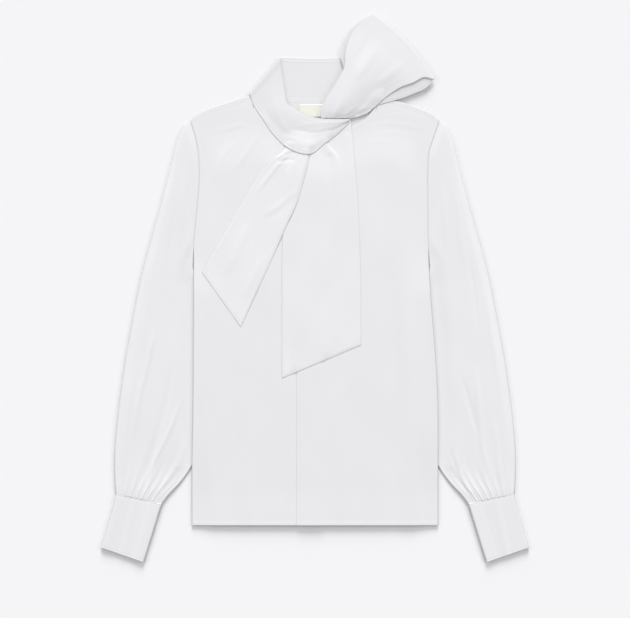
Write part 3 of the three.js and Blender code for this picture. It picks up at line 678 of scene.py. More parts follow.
def smooth_neck(x, scoop):
    """A neckline without corners, which the rows below follow."""
    dip = 0.5 + 0.5 * np.cos(np.pi * np.minimum(np.abs(x) / 120, 1))
    return shoulder_line(x) - (NECK_HALF * NECK_SLOPE + scoop) * dip ** 0.6


def panel_plan(columns, scoop, step):
    """A panel's points, which follow its neckline, and their places on the cut cloth."""
    straight = stations(UNDERARM - HEM_Y, step, (HEM_FOLD - 0.5,), high=PLAIN_END) + HEM_Y
    shares = stations(top_edge(NECK_HALF + 1, scoop) - UNDERARM, step, low=PLAIN_END)
    turning = [shares[-1] - SHOULDER_TURNING + offset for offset in (-1, -0.5, 0, 0.5, 1)]
    shares = np.unique(np.concatenate([shares, turning]))
    shares = shares[np.concatenate([[True], np.diff(shares) > 0.08])] / shares[-1]
    heights = np.concatenate([straight[:-1], mix(UNDERARM, SHOULDER_TIP[1], shares)])
    share = np.concatenate([np.zeros(len(straight) - 1), shares])
    h, c = np.meshgrid(heights, columns, indexing="ij")
    s = share[:, None]
    corner = (top_edge(c, scoop) - smooth_neck(c, scoop)) * s ** 12
    y = np.where(h <= UNDERARM, h, mix(UNDERARM, smooth_neck(c, scoop), s) + corner)
    width = np.where(c < 0, half_width(-1, h), half_width(1, h)) / SHOULDER_TIP[0]
    x = c * mix(1, width, soft_step(30, NECK_HALF, np.abs(c)))
    return x, y, np.stack([c, h], axis=-1)


def edge_distance(x, y, scoop, front_edge=None):
    """How far inside a panel's own rim each point is."""
    found = np.minimum(from_side(x, y), np.minimum(top_edge(x, scoop) - y, y - HEM_Y))
    if front_edge is not None:
        found = np.minimum(found, np.abs(x - front_edge))
    return np.maximum(found, 0)


def panel(name, x, y, places, middle, distance):
    """A panel from the height of its middle layer."""
    half = round_edge(distance, CLOTH)
    top, under = (np.stack([x, y, middle + sign * half], axis=-1) for sign in (1, -1))
    # painted shade along the side seams, the shoulders and the rim
    painted_shade = near_edge(from_side(x, y), 2.6) * (1 - 0.7 * soft_step(44, UNDERARM, y))
    on_shoulder = near_edge(shoulder_line(x) - y, 2.2) * (np.abs(x) > NECK_HALF - 3)
    painted_shade = np.maximum(np.maximum(painted_shade, on_shoulder), 0.2 * near_edge(distance, 1.2))
    # painted shade, darker towards the hem
    painted_shade = np.maximum(painted_shade, 0.032 * (1 - soft_step(-220, 140, y)))
    obj = sheet_piece(name, top, under, places, painted_shade)
    lay_down(top)
    return obj, top

# %% [markdown]
# ## Back and fronts
# The back lies on the table with slight hollows where it doesn't touch. The wearer's right front
# comes next, and the left front with its folded stand lies over it, as when the blouse is buttoned.

# %% Lay the back
BACK_CREASES = [
    (0.4, 16, 20, (0.3, 0.1), [(-120, 120), (-112, -60), (-120, -390)]),
    (0.35, 18, 14, (0.3, 0.1), [(-40, 60), (-46, -120), (-40, -390)]),
    (0.4, 20, 16, (0.3, 0.1), [(52, 120), (60, -90), (55, -390)]),
    (0.35, 14, 18, (0.3, 0.1), [(132, 60), (126, -140), (134, -390)]),
    (0.3, 5, 8, (0.3, 0.4), [(-150, 250), (-90, 236), (-20, 244)]),
    (0.3, 6, 8, (0.3, 0.4), [(150, 246), (96, 230), (30, 240)]),
]
HALF_ACROSS = SHOULDER_TIP[0]
x, y, places = panel_plan(panel_columns(-HALF_ACROSS, HALF_ACROSS, 3.4), BACK_SCOOP, 3.6)
inside = soft_step(4, 30, from_side(x, y))
back_middle = lift(x, y) + TABLE_GAP + CLOTH / 2 + inside * crease_relief(x, y, BACK_CREASES)
back_middle = back_middle + SEAM_RISE * closing(x, y, BACK_SCOOP)
neck = 1 - soft_step(2, 22, top_edge(x, BACK_SCOOP) - y)
back_middle = back_middle + 0.45 * neck * (1 - soft_step(NECK_HALF - 12, NECK_HALF, np.abs(x)))
hem = y - HEM_Y
back_middle = back_middle + 0.12 * (1 - soft_step(HEM_FOLD - 0.4, HEM_FOLD + 0.8, hem))
back, _ = panel("back_cloth", x, y, places, back_middle, edge_distance(x, y, BACK_SCOOP))
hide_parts("back")

# %% [markdown]
# The stand is a folded band down the left front. Its turned edge shows as a fine double line, and
# the edge below it prints a faint line on the right front.

# %% Lay the right front
def front_middle(x, y):
    drop = SEAM_DROP * closing(x, y, FRONT_SCOOP)
    return front_top(x, y) - CLOTH / 2 - drop


def stand_step(x):
    """How far the left front stands up where it lies over the right one."""
    return (WALL + GAP) * (1 - soft_step(STAND_UNDER + 3, STAND_UNDER + 17, x))


x, y, places = panel_plan(panel_columns(-HALF_ACROSS, STAND_UNDER, 3.0), FRONT_SCOOP, 3.2)
printed = 0.2 * ridge(x - STAND_EDGE + 9.5, 2.6) * (1 - soft_step(-160, -90, y))
under_stand = soft_step(STAND_EDGE - 6, STAND_EDGE + 6, x) * ridge(y - HEM_Y, 8)
right_middle = front_middle(x, y) + printed - 0.5 * under_stand
distance = edge_distance(x, y, FRONT_SCOOP, STAND_UNDER)
front_right, right_top = panel("front_right_cloth", x, y, places, right_middle, distance)
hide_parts("front_right")

# %% Lay the left front
x, y, places = panel_plan(panel_columns(STAND_EDGE, HALF_ACROSS, 3.0), FRONT_SCOOP, 3.2)
from_fold = x - STAND_EDGE
flattened = 0.8 * (1 - soft_step(0, 8, from_fold)) * (1 - soft_step(170, 230, y))
stand = 0.16 * ridge(from_fold - 2.6, 2.6) - 0.1 * ridge(from_fold - STAND_STITCH, 1.4)
stand = stand + 0.06 * ridge(from_fold - 11, 3)
left_middle = front_middle(x, y) + stand_step(x) - flattened + stand
distance = edge_distance(x, y, FRONT_SCOOP, STAND_EDGE)
front_left, left_top = panel("front_left_cloth", x, y, places, left_middle, distance)
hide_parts("front_left")

# %% [markdown]
# ## Sleeves
# Each sleeve is one piece with a seam under the arm: a flattened tube that widens from the armhole
# and is gathered into the cuff. Its turnings run on under the body at the armhole and inside the
# cuff, so no seam gapes. Rings follow the sleeve's sections, with a round fold at both edges.

# %% Measures of the sleeves
# outer edge x and y, height of the inner edge, how far that lies inside the body's edge, how much
# of the armhole's curve the section keeps, and how far the upper layer puffs up
SLEEVE = np.array([
    (199.6, 267.6, 62.4, -0.4, 1, 0), (210, 259.6, 59, -0.5, 0.8, 0.4),
    (220.6, 236, 54, -0.6, 0.56, 0.8), (229.2, 203, 48, -0.6, 0.34, 1.2),
    (240.4, 160, 41, -0.5, 0.16, 1.5), (254.6, 108, 33, -0.4, 0.05, 1.8),
    (268.2, 60, 19, 3, 0, 2.0), (281.2, 8, -6, 11, 0, 2.2), (292.4, -50, -51, 18, 0, 2.3),
    (302.6, -106, -106, 21, 0, 2.4), (311.2, -164, -165, 22, 0, 2.5),
    (317.6, -218, -218, 18, 0, 2.1), (320.8, -260, -262, 10, 0, 1.7),
    (321, -288, -289, -3, 0, 1.3), (320.4, -307, -311, -19, 0, 1.0),
    (319.4, -321, -329, -36, 0, 0.8), (318.4, -328.4, -344.2, -47.4, 0, 0.6)])
# Creases of the sleeve on the left as seen, from the top down
LEFT_SLEEVE_CREASES = [
    (0.75, 5, 9, (0.2, 0.4), [(-252, -50), (-269, -130), (-280, -176), (-297, -280)]),
    (-0.55, 8, 9, (0.3, 0.3), [(-220, -90), (-242, -200), (-266, -280), (-276, -318)]),
    (0.6, 5, 7, (0.3, 0.3), [(-208, -160), (-230, -222), (-258, -282), (-268, -326)]),
    (0.4, 8, 10, (0.3, 0.2), [(-200, -230), (-218, -280), (-244, -322)]),
    (0.45, 9, 12, (0.3, 0.5), [(-226, 190), (-236, 90), (-248, 0)]),
    (0.4, 7, 9, (0.3, 0.5), [(-206, 200), (-212, 120), (-214, 50)]),
    (0.5, 6, 8, (0.3, 0.4), [(-286, -120), (-298, -200), (-305, -290)]),
    (-0.5, 6, 6, (0.3, 0.4), [(-262, 40), (-276, -40), (-288, -130)]),
    (0.3, 4, 5, (0.2, 0.5), [(-204, 262), (-218, 232), (-226, 196)]),
]
# and of the one on the right
RIGHT_SLEEVE_CREASES = [
    (0.8, 6, 9, (0.25, 0.25), [(254, -110), (263, -190), (268, -250), (281, -320)]),
    (-0.6, 7, 6, (0.3, 0.4), [(231, -130), (250, -196), (264, -250)]),
    (0.6, 5, 7, (0.3, 0.3), [(284, -200), (292, -262), (297, -314)]),
    (0.45, 5, 6, (0.25, 0.2), [(222, -258), (236, -300), (252, -332)]),
    (-0.3, 4, 5, (0.25, 0.25), [(214, -250), (228, -296), (246, -330)]),
    (0.5, 8, 11, (0.3, 0.5), [(222, 190), (232, 96), (244, 6)]),
    (0.4, 6, 9, (0.3, 0.5), [(204, 176), (208, 110), (212, 44)]),
    (0.45, 7, 7, (0.3, 0.4), [(272, 20), (282, -70), (296, -170)]),
    (-0.4, 5, 6, (0.3, 0.5), [(244, 60), (256, -20), (262, -90)]),
    (0.3, 4, 5, (0.2, 0.5), [(206, 258), (220, 226), (226, 190)]),
]
# The gathers at a cuff: place across it, how far up they run, rise, half width at the seam
GATHERS = [
    (0.035, 14, 0.7, 2.0), (0.09, 26, 1.1, 2.4), (0.15, 12, 0.7, 1.8), (0.205, 38, 1.3, 2.6),
    (0.265, 18, 0.9, 2.0), (0.32, 48, 1.2, 2.5), (0.385, 14, 0.8, 2.1), (0.44, 30, 1.2, 2.3),
    (0.495, 16, 0.7, 1.8), (0.55, 56, 1.3, 2.6), (0.61, 20, 0.9, 2.0), (0.665, 34, 1.1, 2.3),
    (0.72, 13, 0.7, 1.9), (0.78, 42, 1.2, 2.6), (0.84, 17, 0.8, 2.0), (0.895, 28, 1.1, 2.3),
    (0.955, 15, 0.8, 2.0)]
DEEPEST = 0.12  # how deep the troughs between gathers are


def gathered(u, up, width, mirrored):
    """The gathers' height at a share across the sleeve and a distance up from the cuff."""
    total = np.zeros(u.shape)
    for at, length, rise, half in GATHERS:
        at = 1 - at if mirrored else at
        spread = half * (1 + up / 26)
        fade = np.exp(-(up / length) ** 2)
        total = total + rise * fade * ridge((u - at) * width, spread * 1.15)
    ticks = np.exp(-(up / 9) ** 2)
    return 0.62 * total - DEEPEST * ticks

# %% Rings of a tube
def sleeve_rings(side, numbers, across):
    """Where a sleeve's rings run: x, y, the width, the tuck under the body and the puff."""
    rows = through(SLEEVE, numbers)
    ox, oy, iy, tuck, cap, puff = (rows[:, [k]] for k in range(6))
    ix = half_width(side, iy) - tuck
    width = np.hypot(ox - ix, oy - iy)
    first_x, first_y, first_iy, first_tuck = SLEEVE[0, :4]
    first_ix = half_width(side, first_iy) - first_tuck
    curve_y = mix(first_y, first_iy, across)
    armhole = half_width(side, curve_y) + GAP - mix(first_x, first_ix, across)
    x = mix(ox, ix, across) + cap * armhole
    return side * x, mix(oy, iy, across), width, tuck, puff


ROUND_STEPS = 5
UPPER, INNER, LOWER, OUTER = range(4)  # the parts of a ring


def ring_layout(upper_count, lower_count):
    """Each point of a ring: which part it is on, and its share along that part."""
    upper = [(UPPER, k / upper_count) for k in range(upper_count + 1)]
    inner = [(INNER, k / ROUND_STEPS) for k in range(1, ROUND_STEPS)]
    lower = [(LOWER, k / lower_count) for k in range(lower_count + 1)]
    outer = [(OUTER, k / ROUND_STEPS) for k in range(1, ROUND_STEPS)]
    return np.array(upper + inner + lower + outer)


def ring_points(layout, width, radius, squeeze=0.0):
    """For each ring: the share across, and how far up each point is, from -1 to 1."""
    part, share = layout[:, 0][None, :], layout[:, 1][None, :]
    inset = (radius + squeeze) / width
    turn = np.pi * share
    fold = radius / width * np.sin(turn)
    u = np.select(
        [part == UPPER, part == INNER, part == LOWER],
        [mix(inset, 1 - inset, share), 1 - inset + fold, mix(1 - inset, inset, share)],
        inset - fold)
    up = np.select(
        [part == UPPER, part == INNER, part == LOWER],
        [np.ones_like(turn), np.cos(turn), -np.ones_like(turn)],
        -np.cos(turn))
    return u, up + 0 * u


def tube_walls(place, u, up, low, high, thick, width):
    """The outer and inner points of rings that lie between a low and a high face."""
    middle, half = (high + low) / 2, (high - low) / 2
    outer_z = middle + up * half
    inner_z = middle + up * (half - thick)
    pull = np.where(u < 0.5, 1, -1) * thick / width * (1 - np.abs(up))
    ox, oy = place(u)
    ix, iy = place(u + pull)
    return np.stack([ox, oy, outer_z], axis=-1), np.stack([ix, iy, inner_z], axis=-1)


def round_map(outer):
    """A tube's map: how far round each ring and how far down the tube each point is."""
    closed = np.concatenate([outer, outer[:, :1]], axis=1)
    around = length_along(np.swapaxes(closed, 0, 1)).T
    around = around - around[:, -1:] / 2
    return np.stack([around, length_along(closed.mean(axis=1))[:, None] + 0 * around], axis=-1)


def outer_line(table, count):
    """Numbers of rows along a tube's outer edge, and how far down it each one is."""
    numbers = np.linspace(0, len(table) - 1, count)
    return numbers, length_along(through(table[:, :2], numbers))

# %% Sew a sleeve
SLEEVE_COLUMNS, LOWER_COLUMNS = 66, 34
TURNING = 3.2  # how far a sleeve's turnings run on past its seams
UPPER_ARM = 9  # the rows of the sleeve's table before this one
# low and high face of the turnings under the body and inside the cuff
ARMHOLE_TURNING, CUFF_TURNING = (0.75, 1.95), (1.35, 3.35)
CUFF_SQUEEZE = 1.4  # how much narrower the turnings are inside the cuff
LAST_PLACES = np.array([8, 6.8, 5.6, 4.4, 3.4, 2.4, 1.6, 0.9, 0.4, 0])  # up from the cuff


def sleeve_places(total):
    """Places down a sleeve, closer near the cuff."""
    long, short = np.arange(3, total - 60, 3.2), np.arange(total - 60, total - 8, 1.6)
    return np.sort(np.concatenate([[0, 0.3, 0.8, 1.6], long, short, total - LAST_PLACES]))


def sleeve_edges(numbers, tuck):
    """The heights of a sleeve's outer and inner edge, down its rows."""
    rows = numbers[:, None]
    seam_height, on_seam = 2 * WALL + GAP, soft_step(0, 1, rows)
    tucked = np.where(rows < UPPER_ARM, soft_step(-1, 11, tuck), soft_step(-42, 4, tuck))
    outer_edge = mix(seam_height, EDGE_HEIGHT, on_seam) + 0.2 * soft_step(11, 16, rows)
    free_edge = np.where(rows < UPPER_ARM, mix(seam_height, 2.3, on_seam), FREE_EDGE)
    return outer_edge, mix(free_edge, TUCKED_EDGE, tucked)


def sleeve(name, side, creases):
    numbers, length = outer_line(SLEEVE, 1601)
    places = sleeve_places(length[-1])
    inside = np.zeros(len(places))
    numbers = np.concatenate([[0, 0], np.interp(places, length, numbers), [len(SLEEVE) - 1] * 2])
    before = np.concatenate([[TURNING, 0.5], inside, [0, 0]])[:, None]
    after = np.concatenate([[0, 0], inside, [0.5, TURNING + 0.4]])[:, None]
    up_from_cuff = length[-1] - np.concatenate([[0, 0], places, length[[-1, -1]]])[:, None]
    hidden, in_cuff = before > 0, after > 0
    layout = ring_layout(SLEEVE_COLUMNS, LOWER_COLUMNS)
    part = layout[:, 0][None, :]

    def place(u):
        x, y, _, _, _ = sleeve_rings(side, numbers, u)
        return x - side * before + side * 0.24 * after, y - 0.97 * after

    _, _, width, tuck, puff = sleeve_rings(side, numbers, np.zeros((1, 1)))
    outer_edge, inner_edge = sleeve_edges(numbers, tuck)
    share = np.select([part == INNER, part == OUTER], [1.0, 0.0], 0.5)
    radius = np.select([hidden, in_cuff], [0.6, 1.0], mix(outer_edge, inner_edge, share) / 2)
    u, up = ring_points(layout, width, radius, CUFF_SQUEEZE * in_cuff)
    x, y = place(u)
    from_outer, from_inner = u * width, (1 - u) * width
    folds = np.minimum(u, 1 - u) * width

    # the upper layer: its puff, its creases and the gathers at the cuff
    inner = from_inner - np.maximum(tuck, 0) - 6
    near_cuff = 1 - soft_step(30, 90, up_from_cuff)
    free = soft_step(0, 24, inner) * soft_step(0, 16, from_outer)
    loose = soft_step(0, 10, inner) * soft_step(1, 9, from_outer)
    loose = loose * soft_step(0, 0.5, numbers)[:, None]
    calm = soft_step(0, 5, inner) * soft_step(1, 5, from_outer) * soft_step(0, 5, from_inner)
    relief = free * puff + loose * (crease_relief(x, y, creases) + soft_waves(x, y, 0.14))
    relief = relief + calm * near_cuff * gathered(u, up_from_cuff, width, side > 0)
    relief = relief + 0.15 * ridge(from_inner - 3.6, 1.6) * loose
    high = mix(outer_edge, inner_edge, soft_step(0.15, 0.85, u)) + (part == UPPER) * relief
    off_armhole = np.abs(np.abs(x) - half_width(side, y) - GAP)
    high = high - 0.45 * (1 - soft_step(0, 1.5, off_armhole)) * soft_step(52, 70, y)
    high = high - 0.12 * np.exp(-up_from_cuff / 0.9) * (up_from_cuff < 6)

    # the lower layer: flat on the table, with a few hollows
    hollows = 0.35 * (0.5 + 0.5 * np.sin(from_outer / 5.5 + 1)) * near_cuff
    hollows = hollows + soft_step(0, 12, folds) * np.abs(soft_waves(x, y, 0.12))
    low = TABLE_GAP + (part == LOWER) * hollows
    low, high = (
        np.where(hidden, ARMHOLE_TURNING[k], np.where(in_cuff, CUFF_TURNING[k], face))
        for k, face in enumerate((low, high)))
    outer, wall = tube_walls(place, u, up, low, high, CLOTH, width)

    # painted shade along the folds, the armhole and the cuff seam
    armhole_painted_shade = 0.35 * near_edge(off_armhole, 2.2) * soft_step(30, 60, y)
    painted_shade = np.maximum(near_edge(folds, 3.2), armhole_painted_shade)
    painted_shade = np.maximum(painted_shade, 0.12 * near_edge(up_from_cuff, 1.6))
    obj = tube_piece(name, outer, wall, round_map(outer), painted_shade)
    lay_down(outer[:, part[0] == UPPER])
    return obj


sleeve_right = sleeve("sleeve_right_cloth", -1, LEFT_SLEEVE_CREASES)
sleeve_left = sleeve("sleeve_left_cloth", 1, RIGHT_SLEEVE_CREASES)
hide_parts("sleeve_right")
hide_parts("sleeve_left")

# %% [markdown]
# ## Cuffs
# Deep cuffs of double cloth with an interlining hold the gathers. They are flattened tubes as well,
# firmer and flatter than the sleeves, with a turned lip at both ends.

# %% Sew the cuffs
# outer corner x and y, inner corner x and y
CUFF = np.array([
    (318.46, -328.69, 244.46, -344.49), (323.2, -348, 251.4, -366), (329.8, -372, 259, -391),
    (336.6, -395, 266.8, -416), (342.4, -413.6, 273.6, -437.6)])
CUFF_HEIGHT, CUFF_CLOTH, CUFF_LIP = 4.9, 1.0, 0.42
TOP_STITCH, LOW_STITCH = 2.0, 2.4  # how far the stitching is from the upper and lower end


def cuff(name, side):
    numbers, length = outer_line(CUFF, 401)
    places = stations(length[-1], 2.2, (TOP_STITCH, length[-1] - LOW_STITCH))
    rows = through(CUFF, np.interp(places, length, numbers))
    from_top, from_low = places[:, None], length[-1] - places[:, None]

    def place(u):
        ox, oy, ix, iy = (rows[:, [k]] for k in range(4))
        return side * mix(ox, ix, u), mix(oy, iy, u)

    width = np.hypot(rows[:, [0]] - rows[:, [2]], rows[:, [1]] - rows[:, [3]])
    rounding = np.clip(np.minimum(from_top, from_low) / 0.5, 0, 1)
    lip = CUFF_LIP * (1 - np.sqrt(1 - (1 - rounding) ** 2))
    layout = ring_layout(34, 20)
    radius = CUFF_HEIGHT / 2 - lip
    u, up = ring_points(layout, width, radius)
    across = np.minimum(u, 1 - u) * width
    wavy = 0.2 * np.sin(u * 7 + 1.5 * side) * soft_step(3, 12, across)
    sag = 0.5 * soft_step(4, 30, across) + wavy + 0.16 * ridge((u - 0.7) * width, 6)
    sag = sag - 0.35 * ridge((u - 0.42 - 0.08 * from_top / length[-1]) * width, 9)
    stitched = ridge(from_top - TOP_STITCH, 0.9) + ridge(from_low - LOW_STITCH, 0.9)
    on_top = layout[:, 0] == UPPER
    high = CUFF_HEIGHT - lip - on_top * (sag + 0.16 * stitched * soft_step(0, 3, across))
    thick = CUFF_CLOTH - 1.6 * lip
    outer, wall = tube_walls(place, u, up, TABLE_GAP + lip, high, thick, width)
    # painted shade along the cuff's folds and its upper seam
    painted_shade = np.maximum(near_edge(across, 2.8), 0.25 * near_edge(from_top, 1.6))
    obj = tube_piece(name, outer, wall, round_map(outer), painted_shade)
    lay_down(outer[:, on_top])
    return obj, outer[:, on_top]


cuff_right, cuff_right_top = cuff("cuff_right_cloth", -1)
cuff_left, cuff_left_top = cuff("cuff_left_cloth", 1)
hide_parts("cuff_right")
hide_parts("cuff_left")

# %% [markdown]
# ## Label
# A woven satin label is stitched inside the back neck. Its ends are turned under.

# %% Sew in the label
LABEL_HALF, LABEL_TOP, LABEL_HEIGHT, LABEL_CLOTH = 24.0, 294.4, 20.0, 0.6
ABOVE_TABLE = 0.55  # how far the back's neckline stands up under the label
u = stations(2 * LABEL_HALF, 1.6) - LABEL_HALF
v = stations(LABEL_HEIGHT, 1.6) + LABEL_TOP - LABEL_HEIGHT
x, y = np.meshgrid(u, v)
edge = np.minimum(LABEL_TOP - y, y - LABEL_TOP + LABEL_HEIGHT)
edge = np.minimum(LABEL_HALF - np.abs(x), edge)
half = round_edge(np.maximum(edge, 0), LABEL_CLOTH)
middle = CLOTH + ABOVE_TABLE + LABEL_CLOTH / 2
middle = middle + 0.14 * np.sin(x / 7 + 0.5) + 0.1 * ridge(edge - 1.8, 1.2)
top, under = (np.stack([x, y, middle + sign * half], axis=-1) for sign in (1, -1))
label = sheet_piece("label_satin", top, under, np.stack([x, y], axis=-1), 0 * x, satin)
lay_down(top)
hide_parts("label")

# %% [markdown]
# ## The tie
# The neck band, the wrap over the knot, the loop and the tails are one long double strip. Each
# stretch is a grid between two edge lines that rests on the pile. Its seam turnings lie inside the
# edges and show through as a faint line beside each edge.

# %% Lay a strip
TIE_CLOTH, TIE_REST = 0.48, 0.1  # the double cloth, and the air under it
TIE_EDGE_PAINTED_SHADE = 0.34  # how much painted shade a strip's edges get
TURNED = 5.6  # from a strip's edge to the end of the turnings inside


def dense_rows(table, step, first_fine=False, last_fine=False):
    """Rows of a table at even steps along its middle line, close together at the ends asked for."""
    numbers = np.linspace(0, len(table) - 1, 60 * len(table))
    fine = through(table, numbers)
    length = length_along((fine[:, :2] + fine[:, 2:4]) / 2)
    low, high = (EDGE_PLACES if fine_end else PLAIN_END for fine_end in (first_fine, last_fine))
    at = stations(length[-1], step, low=low, high=high)
    return through(table, np.interp(at, length, numbers))


def strip_plan(rows, w):
    """A strip's points between its edge lines, its width, and how far inside its edges they are."""
    x, y = (mix(rows[:, [k]], rows[:, [k + 2]], w) for k in (0, 1))
    width = np.hypot(rows[:, [0]] - rows[:, [2]], rows[:, [1]] - rows[:, [3]])
    return x, y, width, np.minimum(w, 1 - w) * width


def across_shares(width, step):
    """Shares across a strip, closer at its edges and where its turnings end."""
    return stations(width, step, (TURNED, width - TURNED))[None, :] / width


def edge_line(distance):
    """The faint line where the turnings inside a strip end."""
    return 0.08 * ridge(distance - TURNED, 1.6)


def strip_piece(name, middle, shaded=0.0):
    """A closed strip round a grid of middle points, with round edges."""
    across = length_along(np.swapaxes(middle, 0, 1)).T
    along = length_along(middle)
    beside = np.minimum(across, across[:, -1:] - across)
    distance = np.minimum(beside, np.minimum(along, along[-1:] - along))
    half = round_edge(distance, TIE_CLOTH)[..., None]
    normal = normals_of(middle)
    if normal[len(middle) // 2, middle.shape[1] // 2, 2] < 0:
        normal = -normal
    top, under = middle + normal * half, middle - normal * half
    places = np.stack([across - across[:, -1:] / 2, along], axis=-1)
    # painted shade where the strip stands steep, as round its folds, and along its side edges
    steep_painted_shade = 1 - soft_step(0.6, 0.99, np.abs(normal[..., 2]))
    painted_shade = np.maximum(TIE_EDGE_PAINTED_SHADE * near_edge(beside, 2.2), steep_painted_shade)
    return sheet_piece(name, top, under, places, np.maximum(painted_shade, shaded)), top


def resting(x, y, least, field, bulge, w):
    """The middle of a strip that rests on the pile, and bulges between its edges."""
    under = np.maximum(least, read_height(field, x, y) + TIE_REST)
    return under + TIE_CLOTH / 2 + bulge * np.sin(np.pi * w)

# %% [markdown]
# ## Neck band, first part
# From its end under the knot the band runs up the wearer's left, turns over at the side of the neck
# and lies flat behind the neck opening, where its lower edge is sewn over the back neckline.

# %% Lines of the neck band
# upper edge x and y, lower edge x and y, and in front of the neck also the underside's least height
# and the bulge
TIE_UNDER = np.array([
    (12, 264, 20, 252, 2.8, 0.1), (24, 278, 36, 266, 2.8, 0.1), (38, 298, 56, 281, 2.8, 0.1),
    (47, 322, 78, 294, 2.8, 0.1), (53, 347, 96, 302, 2.9, 0), (55.6, 368.2, 104.4, 310.8, 3.2, 0)])
TIE_BACK = np.array([
    (55.6, 368.2, 104.4, 310.8), (46, 368.8, 86, 302.4), (24, 368, 44, 297.2),
    (0, 367.6, 0, 295.8), (-24, 368, -44, 297.2), (-46, 368.8, -86, 302.4),
    (-55.6, 368.2, -104.4, 310.8)])
# and for the wrap, how far its upper edge stands off
TIE_WRAP = np.array([
    (-55.6, 368.2, -104.4, 310.8, 3.2, 0, 0), (-53, 346, -99.4, 296, 2.8, 0.1, 0.1),
    (-49, 320, -92, 283, 2.6, 0.2, 0.5), (-44.8, 296.8, -83, 270, 2.6, 0.3, 1.2),
    (-34, 289.6, -68.8, 248.8, 2.6, 0.3, 1.7), (-22, 283, -48, 228, 2.6, 0.3, 2.2),
    (-6, 275, -26, 216.8, 2.6, 0.3, 2.5), (10, 271.6, -5, 215.6, 2.6, 0.3, 2.7),
    (26, 270.8, 14, 230.5, 2.6, 0.2, 2.7), (42, 270.6, 34, 245.5, 2.6, 0.1, 2.6),
    (56, 270.8, 54, 264, 2.6, 0, 2.5)])
FOLD_END = ((57.0, 369.6), (105.8, 312.0))
FOLD_LOW, FOLD_HIGH = 0.68, 3.9
FOLD_TURNS = 9


def fold_over(end_a, end_b, inward, low, high, w, rising, crown=0.0):
    """Rows of middle points round a fold whose line runs from one end to the other."""
    radius = (high - low) / 2
    turn = np.linspace(0, np.pi, FOLD_TURNS)[:, None]
    out = crown * np.sin(np.pi * w) - radius * (1 - np.sin(turn))
    x = mix(end_a[0], end_b[0], w) - inward[0] * out
    y = mix(end_a[1], end_b[1], w) - inward[1] * out
    z = (high + low) / 2 + (-1 if rising else 1) * radius * np.cos(turn) + 0 * w
    return np.stack([x, y, z], axis=-1)


def neck_fold(side, rising, w):
    (ax, ay), (bx, by) = FOLD_END
    line = np.array([bx - ax, by - ay])
    line = line / np.linalg.norm(line)
    inward = (side * line[1], -line[0])
    return fold_over((side * ax, ay), (side * bx, by), inward, FOLD_LOW, FOLD_HIGH, w, rising)


BAND_SHARES = across_shares(75.0, 1.7)


def band(rows, field, close=None, creases=()):
    """A stretch of the band that rests on a field, and whose lower edge lies close on another."""
    x, y, width, from_edge = strip_plan(rows, BAND_SHARES)
    least, bulge = rows[:, [4]], rows[:, [5]]
    if close is not None:
        least = least + rows[:, [6]] * (1 - soft_step(0.15, 1, BAND_SHARES))
    z = resting(x, y, least, field, bulge, BAND_SHARES)
    if close is not None:
        low = resting(x, y, least, close, 0, BAND_SHARES)
        z = mix(low, z, soft_step(0, 20, (1 - BAND_SHARES) * width))
    z = z + edge_line(from_edge) + soft_step(0, 6, from_edge) * crease_relief(x, y, creases)
    return np.stack([x, y, z], axis=-1)


def flat_band(rows):
    """The stretch behind the neck, which lies flat and is sewn over the back's neckline."""
    x, y, width, from_edge = strip_plan(rows, BAND_SHARES)
    sewn = 0.12 * (1 - soft_step(2.0, 6.0, (1 - BAND_SHARES) * width))
    return np.stack([x, y, FOLD_LOW + sewn + edge_line(from_edge)], axis=-1)


def blend_ends(grid, start, end, count=5):
    """Brings the first and last rows of a grid to the heights of the folds beside them."""
    for k in range(count):
        share = 1 - k / count
        if start is not None:
            grid[k, :, 2] = mix(grid[k, :, 2], start, share)
        if end is not None:
            grid[-1 - k, :, 2] = mix(grid[-1 - k, :, 2], end, share)
    return grid

# %% Lay the band under the knot and behind the neck
under_knot = band(dense_rows(TIE_UNDER, 2.2, first_fine=True), spanning(pile, 5, 20))
under_knot = blend_ends(under_knot, None, FOLD_HIGH)
behind_neck = blend_ends(flat_band(dense_rows(TIE_BACK, 2.2)), FOLD_LOW, FOLD_LOW)
TO_TOP = np.array([0, 0, TIE_CLOTH / 2])
lay_down(under_knot + TO_TOP)
lay_down(behind_neck + TO_TOP)
print("the band behind the neck has", behind_neck.shape[0], "rows")

# %% [markdown]
# ## Tails
# The long tail hangs straight down from under the knot, with a soft pleat from the knot down. The
# short tail comes out of the knot to the wearer's right, with a deep little crease at its top.

# %% Lines of the tails
# left edge x and y, right edge x and y
TAIL_LONG = np.array([
    (-18, 236, 57, 268.6), (-24, 216, 60, 246), (-34, 190, 63.4, 210), (-44, 152, 67.4, 160),
    (-50.4, 108, 70.4, 108), (-52.8, 52, 72.4, 54), (-52.9, -10, 73.4, 2), (-52.9, -76, 73.6, -44),
    (-52.8, -143.2, 73.6, -90.4)])
LONG_CREASES = [
    (0.7, 2.2, 17, (0.02, 0.62), [
        (15, 240), (22, 226), (33, 213), (37.5, 198), (39, 150), (41, 70)]),
    (0.4, 10, 8, (0.05, 0.6), [(2, 232), (4, 190), (2, 130), (6, 60)]),
    (-0.35, 6, 7, (0.05, 0.6), [(24, 216), (25, 180), (24, 110)]),
    (0.35, 8, 9, (0.05, 0.6), [(52, 250), (56, 190), (58, 90)]),
    (0.35, 6, 8, (0.05, 0.6), [(-14, 222), (-24, 180), (-28, 120)]),
    (0.35, 12, 16, (0.3, 0.3), [(-20, 60), (-16, -20), (-20, -110)]),
    (0.3, 14, 12, (0.3, 0.3), [(36, 20), (34, -40), (38, -100)]),
]
TAIL_SHORT = np.array([
    (-42, 232, -9, 229), (-56, 217, -10.4, 206), (-76, 202, -16, 180), (-97, 175, -29, 136),
    (-120, 134, -47, 97), (-142, 96, -70, 44), (-162, 61, -94.4, -8.8),
    (-180.8, 26.4, -118.4, -61.6)])
